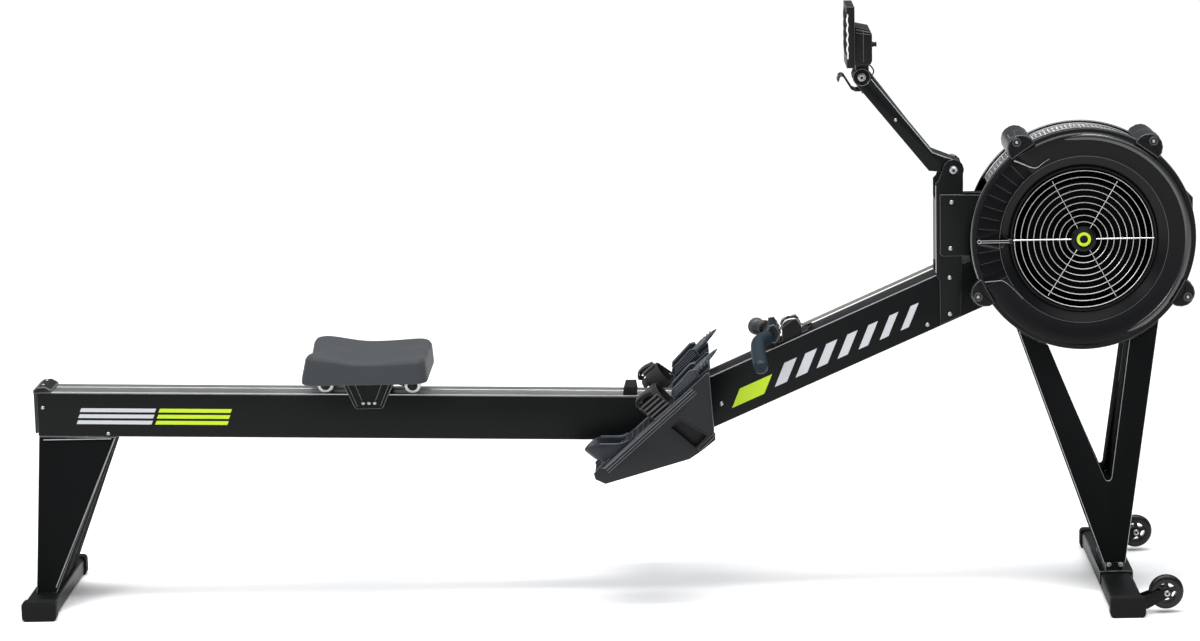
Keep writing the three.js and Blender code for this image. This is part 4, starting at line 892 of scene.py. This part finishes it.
# ------------------------------------------------------------------ foot stretchers
def make_heel_cup(side_name, mirror):
    body = f"heel_{side_name}"
    half = 38.0
    middle = -BOARD_MIDDLE

    def place(shape):
        moved = shape.warp(lambda p: on_board(p.x, p.y + middle, p.z))
        return moved if mirror < 0 else moved.mirrored()

    # The cup's wall is a horseshoe, high behind the heel and falling towards the ball of the foot.
    rings = []
    bend = 30.0
    path = [(88 - 8.0 * k, -half) for k in range(7)]
    path += [(bend + half * cos_deg(a), half * sin_deg(a)) for a in range(-100, -270, -10)]
    path += [(40 + 8.0 * k, half) for k in range(7)]
    for along, across in path:
        top = 47 - 40 * smooth_step(6, 74, along)
        low = 1.5 + 17 * smooth_step(14, -6, along)
        lean = 5.0 * smooth_step(16, -8, along)
        toward = Vector((along - bend, across, 0)) if along < bend else Vector((0, across, 0))
        toward.normalize()
        rings.append([
            (along, across, low), (along - lean * 0.4, across, top * 0.6), (along - lean, across, top),
            (along - lean - toward.x * 1.4, across - toward.y * 1.4, top + 1.4),
            (along - lean - toward.x * 3.2, across - toward.y * 3.2, top),
            (along - toward.x * 4, across - toward.y * 4, top * 0.6),
            (along - toward.x * 4, across - toward.y * 4, low),
        ])
    piece(f"heel_cup_wall_{side_name}", place(loft(rings)), "heel_cup_slate", body, [f"heel_cup_{side_name}"],
          sharp=50)
    sole = slab([(-4, 1), (196, 1), (212, 8), (274, 12), (274, 16), (210, 14), (194, 5), (-4, 5)],
                -half + 1, half - 1)
    piece(f"heel_cup_sole_{side_name}", place(sole), "heel_cup_slate", body, bevel=1.0)

    treads = Shape()
    for k in range(9):
        along = 20 + 15 * k
        treads.add(block((along, -half + 8, 5), (along + 5, half - 8, 6.6)))
    for k in range(7):
        along = 212 + 9.2 * k
        low = 14 + 0.04 * (along - 210)
        treads.add(block((along, -half + 2, low), (along + 5, half - 2, low + 6.5)))
    piece(f"heel_cup_treads_{side_name}", place(treads), "heel_cup_slate", body, bevel=0.8)

    # The toe block carries the pointed, ribbed tongue.
    toe = slab([(206, 12), (276, 15), (278, 30), (268, 35), (214, 29), (206, 22)], -half, -half + 5)
    toe.add(slab([(206, 12), (276, 15), (278, 30), (268, 35), (214, 29), (206, 22)], half - 5, half))
    piece(f"heel_cup_toe_{side_name}", place(toe), "heel_cup_slate", body, bevel=1.4)
    # The grooves in a lighter copy of the cup's finish, as painted highlight lines.
    grooves = Shape()
    for side in (-half - 0.3, half + 0.3):
        for k in range(4):
            grooves.add(tube([(210 + 3 * k, side, 16 + 4.2 * k), (271 + 1.5 * k, side, 18.5 + 4.0 * k)],
                             1.0, 8))
        grooves.add(tube([(206, side, 12), (206, side, 22), (214, side, 29), (268, side, 35),
                          (278, side, 30)], 1.2, 8))
    piece(f"heel_cup_grooves_{side_name}", place(grooves), "heel_cup_slate", body,
          finish=PAINTED_HIGHLIGHT_EDGES["heel_cup_slate"])
    # The lip in a lighter copy of the cup's finish, as a painted highlight.
    lip = Shape()
    for end in (-1, 1):
        lip.add(tube(curve([(74 - 12 * k, end * half,
                             9 + 41 * smooth_step(74, 6, 74 - 12 * k)) for k in range(5)], 4),
                     1.3, 8))
    piece(f"heel_cup_lip_{side_name}", place(lip), "heel_cup_slate", body, finish=PAINTED_HIGHLIGHT_EDGES["heel_cup_slate"])
    tongue_rings = []
    for along, width, low, high in ((262, 33, 17, 22), (280, 33, 19, 24.5), (300, 29, 21, 27),
                                    (318, 20, 23, 27.8),
                                    (330, 10, 24.4, 27.6), (336, 2, 25.6, 27.2)):
        tongue_rings.append([(along, -width, low), (along, width, low), (along, width, high - 1),
                             (along, width * 0.7, high), (along, -width * 0.7, high),
                             (along, -width, high - 1)])
    piece(f"heel_cup_tongue_{side_name}", place(loft(tongue_rings)), "heel_cup_slate", body, bevel=0.8)
    # The tongue's ribs in a lighter copy of the cup's finish, as painted highlights.
    ribs = Shape()
    for k in range(-3, 4):
        reach = 328 - 5.5 * abs(k) ** 1.3
        path = [(266, 7.6 * k, 23.2), (290, 7.6 * k, 26.2), (reach, 7.6 * k * (0.45 if abs(k) else 1), 28.0)]
        ribs.add(tube(path, 1.3, 8))
    for k in range(6):
        ribs.add(tube([(270 + 9 * k, -33.4 + 2.2 * max(0, k - 3) ** 1.5, 20 + 0.9 * k),
                       (274 + 9 * k, -33.4 + 2.2 * max(0, k - 3) ** 1.5, 25 + 0.6 * k)], 1.2, 8))
    piece(f"heel_cup_ribs_{side_name}", place(ribs), "heel_cup_slate", body, finish=PAINTED_HIGHLIGHT_EDGES["heel_cup_slate"])


def make_footboard_trim(side_name, mirror):
    """Ribs along the rims as painted highlight lines, the frame of the slot in the outer side, and a dark liner in
    the slot as painted shade.
    """
    def place(shape):
        moved = shape.warp(lambda p: on_board(p.x, p.y, p.z))
        return moved if mirror < 0 else moved.mirrored()

    # The rim ribs take a lighter copy of the footboard's finish: painted highlights.
    trim = Shape()
    for out, across, radius in ((-1.5, -168.4, 1.5), (-7.5, -168.2, 1.2), (-13, -168.2, 0.9)):
        trim.add(tube([(2, across, out), (250, across, out + 6)], radius, 8))
    for across in (-58.5, -164):
        trim.add(tube([(0, across, 1.0), (258, across, 8.6)], 1.3, 8))
    piece(f"footboard_rim_ribs_{side_name}", place(trim), "footboard_charcoal", "frame",
          finish=PAINTED_HIGHLIGHT_EDGES["footboard_charcoal"])
    corners = [(134, 383), (155, 400), (210, 365), (184, 339)]
    ring = [Vector((x, -168.6, z)) for x, z in corners]
    frame_bar = tube(ring, 1.5, 8, around=True)
    flap = slab([(188, 338), (214, 362), (222, 371), (222, 360), (196, 334)], -170, -150)
    if mirror > 0:
        frame_bar = frame_bar.mirrored()
        flap = flap.mirrored()
    piece(f"footboard_slot_frame_{side_name}", frame_bar, "footboard_charcoal", "frame")
    # A dark liner inside the slot: painted shade where the inside of the footboard shows.
    liner = slab([(128, 379), (153, 404), (226, 366), (226, 352), (196, 328), (184, 332)], -151, -147)
    if mirror > 0:
        liner = liner.mirrored()
    piece(f"footboard_slot_liner_{side_name}", liner, "cap_plastic", "frame", bevel=0.6)
    piece(f"footboard_slot_lip_{side_name}", flap, "cap_plastic", "frame", bevel=1.2)


def strap_path(height, half_span, lift=0.0):
    """A closed-over arch across the foot, as (across, out) points from the outer side to the inner one."""
    points = []
    shoulder = height - 34
    points += [(-half_span, 2 + (shoulder - 2) * k / 5) for k in range(5)]
    for k in range(19):
        angle = 180 - 10 * k
        wave = lift * math.sin(math.radians(angle) * 3)
        points.append(((half_span + wave) * cos_deg(angle), shoulder + (34 + wave) * sin_deg(angle)))
    points += [(half_span, shoulder - (shoulder - 2) * (k + 1) / 5) for k in range(5)]
    return points


def band(path, along_from, along_to, thick, drift=0.0):
    """A flat strap that follows (across, out) points, with softly rounded edges."""
    points = [Vector((0, a, b)) for a, b in path]
    rings = []
    last = len(points) - 1
    for i, point in enumerate(points):
        ahead = points[min(i + 1, last)]
        behind = points[max(i - 1, 0)]
        along = (ahead - behind).normalized()
        normal = Vector((0, -along.z, along.y))
        shift = drift * math.sin(math.pi * i / last)
        section = [(along_from + shift, 0), (along_from + 1 + shift, -thick / 2),
                   (along_to - 1 + shift, -thick / 2),
                   (along_to + shift, 0), (along_to - 1 + shift, thick / 2),
                   (along_from + 1 + shift, thick / 2)]
        rings.append([point + normal * h + Vector((s, 0, 0)) for s, h in section])
    return loft(rings)


def make_strap(side_name, mirror):
    def place(shape):
        moved = shape.warp(lambda p: on_board(p.x, p.y - BOARD_MIDDLE, p.z))
        return moved if mirror < 0 else moved.mirrored()

    node = f"foot_strap_{side_name}"
    lower = band(strap_path(55, 46, 0.6), 157, 191, 2.2)
    piece(f"strap_band_{side_name}", place(lower), "strap_webbing", "frame", [node], sharp=60)
    fold = band(strap_path(46, 41, 0.8)[3:20], 140, 171, 2.4)
    piece(f"strap_fold_{side_name}", place(fold), "strap_webbing", "frame", sharp=60)
    over = strap_path(58.5, 49, 1.0)
    upper = band(over[2:17], 155, 188, 2.0, drift=-4)
    piece(f"strap_overlap_{side_name}", place(upper), "strap_webbing", "frame", sharp=60)
    # The buckle sits on the outer side and has five bars that the strap is woven through.
    buckle = Shape()
    low_out, high_out = 8.0, 44.0
    for s in (148, 194):
        buckle.add(tube([(s, -52.5, low_out), (s - 3, -53.5, 20), (s - 6, -52, 34), (s - 9, -46, high_out)],
                        2.6, 10))
    piece(f"strap_buckle_{side_name}", place(buckle), "cap_plastic", "frame")
    # The bars in a lighter copy of the buckle's finish, as painted highlights.
    bars = Shape()
    for k in range(5):
        share = k / 4
        out = low_out + (high_out - low_out) * share
        across = -54.5 + 6.5 * smooth_step(0.5, 1.0, share)
        bars.add(tube([(147 - 9 * share, across, out), (195 - 9 * share, across, out)], 1.9, 10))
    piece(f"strap_buckle_bars_{side_name}", place(bars), "cap_plastic", "frame", finish=PAINTED_HIGHLIGHT_EDGES["cap_plastic"])
    # The loose end is folded back on itself in a short, thick loop over the arch.
    knot = Shape()
    for reach, rise in ((0, 0), (2.5, 4.6)):
        path = curve([(180, -33, 51 + rise), (163 - reach, -33, 56 + rise), (147 - reach, -33, 55 + rise),
                      (140 - reach, -33, 49 + rise * 0.6), (145 - reach, -33, 44 + rise * 0.3)], 5)
        rings = []
        for i, point in enumerate(path):
            along = (path[min(i + 1, len(path) - 1)] - path[max(i - 1, 0)]).normalized()
            normal = along.cross(Vector((0, 1, 0))).normalized()
            rings.append([point + Vector((0, a, 0)) + normal * h for a, h in
                          ((-17, 0), (-16, 1.6), (16, 1.6), (17, 0), (16, -1.6), (-16, -1.6))])
        knot.add(loft(rings))
    piece(f"strap_knot_{side_name}", place(knot), "strap_webbing", "frame", sharp=60)


# ------------------------------------------------------------------ handle
def handle_run():
    """The handle's middle line, from its near end to its far end, with an elbow each side of the clasp."""
    x, z = 348.0, 549.0
    near = [(x - 27, -246, z - 31), (x - 30, -168, z - 18), (x - 29, -92, z - 6.5), (x - 10, -50, z - 1.5),
            (x, -18, z)]
    return curve(near + [(a, -b, c) for a, b, c in reversed(near)], 12)


def make_handle():
    run = handle_run()
    near = [p for p in run if -245.5 <= p.y <= -47]
    for side_name, mirror in (("near", 1), ("far", -1)):
        path = [Vector((p.x, p.y * mirror, p.z)) for p in near]

        def width(t):
            end = 3.6 * (smooth_step(0.03, 0.0, t) + 0.7 * smooth_step(0.97, 1.0, t))
            return 15.2 - end

        dense = curve(path, 3)
        sleeve = tube(dense, width, 28)
        # The far grip is the same rubber as the near one, but takes the handle's black as painted shade.
        piece(f"grip_sleeve_{side_name}", sleeve, "grip_rubber", "handle", [f"handle_grip_{side_name}"],
              sharp=50,
              finish=SURFACES["handle_black"] if side_name == "far" else None)
        tip = stack(path[0] + Vector((0, -0.2 * mirror, 0)), (0, -mirror, 0),
                    [(8.2, 0), (8.2, 1.0), (6.4, 1.4),
                                                                        (3.0, 0.6), (2.6, 1.2), (1.2, 1.3)],
                    28)
        # The far tip takes the handle's black too, as painted shade.
        piece(f"grip_tip_{side_name}", tip, "grip_rubber", "handle",
              finish=SURFACES["handle_black"] if side_name == "far" else None)
    # The far grip's ribs, in a lighter copy of the handle's finish as painted highlights.
    far_run = [p for p in curve(run, 2) if 50 <= p.y <= 242]
    rings = Shape()
    for k in range(3, len(far_run) - 3, 3):
        along = far_run[k + 1] - far_run[k - 1]
        rings.add(tube(circle(far_run[k], 15.6, along, 28), 1.5, 8, around=True))
    piece("grip_rings_far", rings, "handle_black", "handle", finish=PAINTED_HIGHLIGHT_EDGES["handle_black"])
    core = tube([p for p in run if abs(p.y) < 60], 11.5, 24)
    piece("handle_bar", core, "handle_black", "handle", ["handle_core"])
    clasp = slab([(338, 538), (346, 532), (357, 532), (366, 551), (360, 566), (353, 573), (343, 571),
                  (336, 554)],
                 -43, 43)
    piece("handle_clasp", clasp, "handle_black", "handle", bevel=3.2, segments=3)
    ribs = Shape()
    for k in range(-4, 5):
        ribs.add(tube([(341.5, 9 * k, 571.4), (353, 9 * k, 573.4), (366, 9 * k, 552)], 1.4, 8))
    piece("handle_clasp_ribs", ribs, "handle_black", "handle")
    eye = [(356, -6.5, 553), (388, -6.5, 564), (404, -5, 565.5), (409.5, 0, 565.5), (404, 5, 565.5),
           (388, 6.5, 564),
           (356, 6.5, 553)]
    piece("handle_shackle", tube(curve(eye, 6), 2.4, 12), "fastener_zinc", "handle")


def make_holder_details():
    """Hooks the handle rests in, on the holder's cheeks, and a loop over the beam's top."""
    for side_name, side in SIDES:
        hook = curve([(368, side * 21, 560), (373, side * 21, 572), (384, side * 21, 578),
                      (397, side * 21, 579),
                      (404, side * 21, 573)], 6)
        piece(f"holder_hook_{side_name}", tube(hook, 2.6, 12), "fastener_zinc", "frame")
    loop = curve([(418, -20, beam_upper(418) + 4), (428, -16, beam_upper(428) + 6),
                  (432, 0, beam_upper(432) + 7),
                  (428, 16, beam_upper(428) + 6), (418, 20, beam_upper(418) + 4)], 6)
    piece("holder_loop", tube(loop, 2.6, 10), "cap_plastic", "frame")


def make_chain():
    """A roller chain in short runs; each run's share of the handle's movement, which would keep the chain straight,
    is worked out, but no run is made to follow the handle.
    """
    start = Vector((414, 0, 563.6))
    end = Vector((715.6, 0, 0))
    end.z = start.z + (end.x - start.x) * BEAM_SLOPE
    exit_point = Vector((700, 0, start.z + (700 - start.x) * BEAM_SLOPE))
    along = (start - exit_point).normalized()
    length = (start - exit_point).length
    pitch = 8.0
    up = Vector((along.z, 0, -along.x)).normalized()
    if up.z < 0:
        up = -up
    side = Vector((0, 1, 0))
    total = int((end - start).length / pitch)

    def link(middle, half_gap):
        """Two waisted side plates of one link."""
        plates = Shape()
        outline = []
        for k in range(24):
            angle = 15 * k
            lobe = 1 if cos_deg(angle) >= 0 else -1
            outline.append((lobe * pitch / 2 + 3.3 * cos_deg(angle),
                            3.3 * sin_deg(angle) * (0.78 + 0.22 * abs(
                cos_deg(angle)))))
        for sign in (-1, 1):
            plates.add(loft([[middle + along * a + up * b + side * sign * y for a, b in outline]
                             for y in (half_gap, half_gap + 0.9)]))
        return plates

    per_run = 3
    for run in range(math.ceil(total / per_run)):
        shape = Shape()
        places = []
        for k in range(run * per_run, min(total, (run + 1) * per_run)):
            middle = start - along * (k + 0.5) * pitch
            places.append(middle)
            shape.add(link(middle, 2.0 if k % 2 else 1.0))
            pin = middle + along * pitch / 2
            shape.add(stack(pin - side * 3.3, side, [(1.3, 0), (1.5, 0.3), (1.5, 6.3), (1.3, 6.6)], 10))
            shape.add(stack(pin - side * 0.9, side, [(2.4, 0), (2.4, 1.8)], 14))
        centre = sum(places, Vector()) / len(places)
        share = min(0.985, max(0.0, (centre - exit_point).dot(along) / length))
        moves = share > 0.004
        item = piece(f"chain_run_{run + 1:02d}", shape, "chain_steel", None if moves else "frame", ["chain"])
        if not moves:
            continue
        # The blend's weight is a smooth step; this finds the stretch of it that gives the run its share.
        low_t, high_t = 0.0, 1.0
        for _ in range(40):
            t = (low_t + high_t) / 2
            if t * t * (3 - 2 * t) < share:
                low_t = t
            else:
                high_t = t
        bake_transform(item)


# ------------------------------------------------------------------ monitor
def make_monitor_details():
    face = box_mm("monitor_front")[0].x
    bezel = Shape()
    for k in range(5):
        z = 1138 + 20 * k
        bezel.add(block((face - 0.9, 40.6, z - 0.8), (face + 0.4, 64.4, z + 0.8)))
    piece("monitor_key_rails", bezel, "key_grey", "monitor")
    scallops = []
    for k in range(49):
        z = 1128 + 92 * k / 48
        dip = 1.9 * abs(math.sin(math.pi * (z - 1138) / 20)) if 1138 < z < 1218 else 0.8
        scallops.append((face + 3.4 - dip, -70.4, z))
    piece("monitor_key_trim", tube(scallops, 2.1, 10), "roller_white", "monitor")
    frame_points = rounded(43.5, 44.5, 5, centre=(-8, 1179))
    ring = [Vector((face - 0.3, a, b)) for a, b in frame_points]
    piece("monitor_screen_rim", tube(ring, 1.3, 8, around=True), "monitor_plastic", "monitor")
    seam = Shape()
    for y in (-56.4, 56.4):
        seam.add(tube([(543, y, 1120), (543, y, 1183)], 0.7, 8))
        seam.add(tube([(528, y, 1186.5), (557, y, 1180.5)], 1.1, 8))
        seam.add(tube([(528, y, 1180.0), (558, y, 1175.5)], 0.8, 8))
    piece("monitor_rear_seams", seam, "key_grey", "monitor")
    ridge = slab([(527, 1191), (534, 1190), (556, 1184), (556, 1182), (527, 1188)], -54, 54)
    piece("monitor_rear_cap", ridge, "key_grey", "monitor", bevel=0.8)
    knob = stack((561.2, 0, 1150), (1, 0, 0), [(4.6, 0), (5.6, 0.8), (5.6, 5), (3.4, 5.4), (3.4, 8),
                                               (5.2, 8.4),
                                               (5.2, 11), (4.4, 11.6)], 32)
    piece("monitor_knob", knob, "cap_plastic", "monitor")


def make_sensor_lead():
    route = [(556, 34, 1106), (562, 34, 1101), (567, 34, 1094), (568, 34, 1088), (564.5, 34, 1082.5)]
    item = piece("sensor_lead_wire", tube(curve(route, 8), 1.5, 12), "rubber_black", None, ["sensor_lead"])
    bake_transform(item)


def make_arm_details():
    for name, node, centre, body, reach in (("pivot", "arm_pivot_bolt", PIVOT, "frame", 44.6),
                                            ("tilt", "tilt_bolt", TILT, "arm", 36.6)):
        for side_name, side in SIDES:
            seat = (centre.x, side * reach, centre.z)
            head = hex_bolt(seat, (0, side, 0), across=13, height=5)
            piece(f"{name}_bolt_{side_name}", head, "fastener_zinc", body, [node] if side < 0 else [])
            socket = stack(seat, (0, side, 0), [(2.9, 5.4), (2.9, 6.5), (1.8, 6.2)], 6)
            piece(f"{name}_bolt_socket_{side_name}", socket, "cap_plastic", body)
    for side_name, side in SIDES:
        boss = stack((TILT.x, side * 35.6, TILT.z), (0, side, 0),
                     [(18.6, -2), (18.6, 0.2), (16.6, 0.7), (16.2, 0.2),
                                                                 (12.4, 0.2), (12, 0.8)], 48)
        piece(f"tilt_boss_{side_name}", boss, "frame_black", "arm")
        # The boss rim in a lighter copy of the frame's finish, as a painted highlight.
        rim = tube(circle((TILT.x, side * 36.2, TILT.z), 17.4, (0, 1, 0), 40), 1.0, 8, around=True)
        piece(f"tilt_boss_rim_{side_name}", rim, "frame_black", "arm", finish=PAINTED_HIGHLIGHT_EDGES["frame_black"])
    # Bright metal lines along the arm's upper edges: painted highlights.
    upper = [(TILT.x + 19, TILT.z - 4), (684, 927), (PIVOT.x - 3, PIVOT.z + 20), (PIVOT.x + 9, PIVOT.z + 17)]
    for side_name, side in SIDES:
        line = tube([(x + 0.4, side * 35.4, z + 0.4) for x, z in upper], 1.5, 8)
        piece(f"arm_edge_{side_name}", line, "frame_black", "arm", finish=PAINTED_HIGHLIGHT_METAL)
    piece("arm_rivet", dome_screw((609, -36, 996), (0, -1, 0), 3.4, 1.8), "fastener_zinc", "arm")


# ------------------------------------------------------------------ fasteners and trim on the frame
def make_fasteners():
    column_y = -47.4
    bolts = Shape()
    for x, z in ((722.7, 824), (720, 727.5), (718.4, 665.4), (718.5, 588.7)):
        bolts.add(dome_screw((x, column_y if z > 711 else -44.4, z), (0, -1, 0), 4.6, 2.6))
    piece("column_bolts_near", bolts, "fastener_zinc", "frame")
    piece("column_bolts_far", bolts.mirrored(), "fastener_zinc", "frame")
    left = box_mm("column")[0].x
    pad = [(left + 1, PIVOT.z - 42), (left + 1, PIVOT.z - 30), (left + 8, PIVOT.z - 22),
           (left + 22, PIVOT.z - 15),
           (left + 25, PIVOT.z - 20), (left + 15, PIVOT.z - 30)]
    piece("column_rub_plate", slab(pad, 41.0, 42.0), "fastener_zinc", "frame", bevel=0.3)
    beam = Shape()
    for x, z in ((240, 405), (672, 566)):
        for side in (-1, 1):
            beam.add(dome_screw((x, side * 40.1, z), (0, side, 0), 4.4, 2.6))
    piece("beam_bolts", beam, "fastener_zinc", "frame")
    leg = Shape()
    for dx in (-12, 12):
        for side in (-1, 1):
            leg.add(hex_bolt((1057 + dx, side * 92.2, 58), (0, side, 0), 8, 3))
    piece("saddle_bolts", leg, "fastener_zinc", "frame")
    rear = Shape()
    for x in (-1188, -1052):
        for side in (-1, 1):
            rear.add(dome_screw((x, side * 42.8, rail_top(x) - (34 if x < -1100 else 89)), (0, side, 0),
                                4.0, 2.2))
    end = box_mm("rear_end_cap")[0].x
    for side in (-1, 1):
        rear.add(dome_screw((end + 19, side * 24, rail_top(end) + 10.8), (0, 0, 1), 3.6, 2.0))
    piece("rear_cap_screws", rear, "fastener_zinc", "frame")


def make_rear_cap():
    """A thin plate over the end of the rail, with a low rounded bumper across its top."""
    low = box_mm("rear_end_cap")[0]
    top = rail_top(low.x)
    plate = slab([(low.x + 1, low.z), (low.x + 6, low.z), (low.x + 6, top), (low.x + 1, top)], -43, 43)
    piece("rear_cap_plate", plate, "cap_plastic", "frame", ["rear_end_cap"], bevel=1.2)
    hump = slab([(low.x, top - 5), (low.x, top + 3), (low.x + 9, top + 10), (low.x + 26, top + 10.8),
                 (low.x + 40, top + 3), (low.x + 40, top - 3)], -45, 45)
    piece("rear_cap_bumper", hump, "cap_plastic", "frame", bevel=3.0, segments=3)


def make_sheet_edges():
    """Painted highlights: bright metal lines along the beam's top folded edges, up the column, and on the rear
    legs' side plates.
    """
    trim = Shape()
    for y in (-BEAM_HALF_WIDTH + 0.6, BEAM_HALF_WIDTH - 0.6):
        trim.add(tube([(x, y, beam_upper(x) - 0.4) for x in (160, 695)], 1.1, 8))
    left = box_mm("column")[0].x
    trim.add(tube([(left + 0.3, -44, beam_upper(left) + 6), (left + 0.3, -44, PIVOT.z - 32)], 1.1, 8))
    piece("beam_sheet_edges", trim, "frame_black", "frame", finish=PAINTED_HIGHLIGHT_METAL)
    leg_low, leg_high = box_mm("rear_leg_near")
    head = leg_high.z - 7
    foot = leg_low.z + 12
    panel = Shape()
    for side in (-1, 1):
        def wide(z):
            return side * (43.6 + (126 - 43.6) * (leg_high.z - z) / (leg_high.z - leg_low.z) + 0.4)

        front_top = -1046
        front_foot = -1171
        panel.add(tube([(-1189, wide(head), head), (front_top, wide(head), head)], 1.1, 8))
        panel.add(tube([(front_top + 8, wide(head), head + 2), (front_foot + 7, wide(foot), foot)], 1.4, 8))
    piece("rear_leg_sheet_edges", panel, "frame_black", "frame", finish=PAINTED_HIGHLIGHT_METAL)


def make_caster(side_name):
    node = f"caster_wheel_{side_name}"
    centre = middle_mm(node)
    y = centre.y
    tyre = [(22, y - 9.5), (27, y - 9.8), (31, y - 9.0), (34, y - 6.8), (35.6, y - 3.6), (36.2, y),
            (35.6, y + 3.6),
            (34, y + 6.8), (31, y + 9.0), (27, y + 9.8), (22, y + 9.5)]
    piece(f"caster_tyre_{side_name}", revolve(tyre, centre.x, centre.z, 72), "wheel_black", BODY_OF[node],
          [node])
    core = Shape()
    core.add(revolve([(19.5, y - 8.5), (23, y - 9.0), (23, y + 9.0), (19.5, y + 8.5)], centre.x, centre.z,
                     64))
    core.add(revolve([(4.6, y - 11.5), (10.5, y - 11.5), (11.5, y - 10), (11.5, y + 10), (10.5, y + 11.5),
                      (4.6, y + 11.5)], centre.x, centre.z, 48))
    for k in range(5):
        angle = 72 * k + 18
        rings = []
        for r, half, deep in ((10, 5.0, 8), (15, 3.4, 7), (21, 4.6, 7.6)):
            a = math.radians(angle)
            middle = Vector((centre.x + r * math.cos(a), y, centre.z + r * math.sin(a)))
            across = Vector((-math.sin(a), 0, math.cos(a))) * half
            out = Vector((0, deep, 0))
            rings.append([middle - across - out, middle + across - out, middle + across + out,
                          middle - across + out])
        core.add(loft(rings))
    piece(f"caster_core_{side_name}", core, "wheel_black", BODY_OF[node], bevel=0.7)
    bolts = Shape()
    for side in (-1, 1):
        bolts.add(dome_screw((centre.x, y + side * 17, centre.z), (0, side, 0), 6.6, 3.6))
    piece(f"caster_bolts_{side_name}", bolts, "fastener_zinc", "frame")


def make_graphics():
    """Plain slanted stripes on the rail and the beam."""
    def stripe(x0, x1, low, high, base, y, slant):
        points = []
        for x, share in ((x0, low), (x1, low), (x1, high), (x0, high)):
            moved = x + slant * (share - low)
            points.append((moved, base(moved) + share))
        return slab(points, y, y + 0.25)

    def rail_low(x):
        return rail_top(x) - 95.6

    def beam_low(x):
        return BEAM_LOWER_AT_ORIGIN + BEAM_SLOPE * x

    grey = Shape()
    lime = Shape()
    y = -RAIL_HALF_WIDTH - 0.3
    grey.add(stripe(-1118, -960, 27, 35, rail_low, y, 0.45), stripe(-1114, -956, 40, 48, rail_low, y, 0.45))
    grey.add(stripe(-1110, -952, 53, 61, rail_low, y, 0.45))
    lime.add(stripe(-952, -800, 27, 35, rail_low, y, 0.45), stripe(-948, -796, 40, 48, rail_low, y, 0.45))
    lime.add(stripe(-944, -792, 53, 61, rail_low, y, 0.45))
    y = -BEAM_HALF_WIDTH - 0.3
    lime.add(stripe(262, 330, 24, 58, beam_low, y, 0.5))
    for k in range(7):
        x = 352 + 44 * k
        grey.add(stripe(x, x + 26 - 1.5 * k, 28, 70, beam_low, y, 0.5))
    piece("stripes_grey", grey, "frame_black", "frame", finish=GRAPHIC_GREY)
    piece("stripes_lime", lime, "frame_black", "frame", finish=GRAPHIC_LIME)


make_camera()
make_studio()
for node_name in NODES:
    dress_cad(node_name)
make_near_cover()
make_cover_beads()
make_far_cover()
make_cage()
make_grille()
make_damper()
make_flywheel()
make_seat()
make_rollers()
make_carriage()
for side_name, mirror in SIDES:
    make_heel_cup(side_name, mirror)
    make_footboard_trim(side_name, mirror)
    make_strap(side_name, mirror)
    make_caster(side_name)
make_handle()
make_holder_details()
make_chain()
make_monitor_details()
make_sensor_lead()
make_arm_details()
make_fasteners()
make_rear_cap()
make_sheet_edges()
make_graphics()
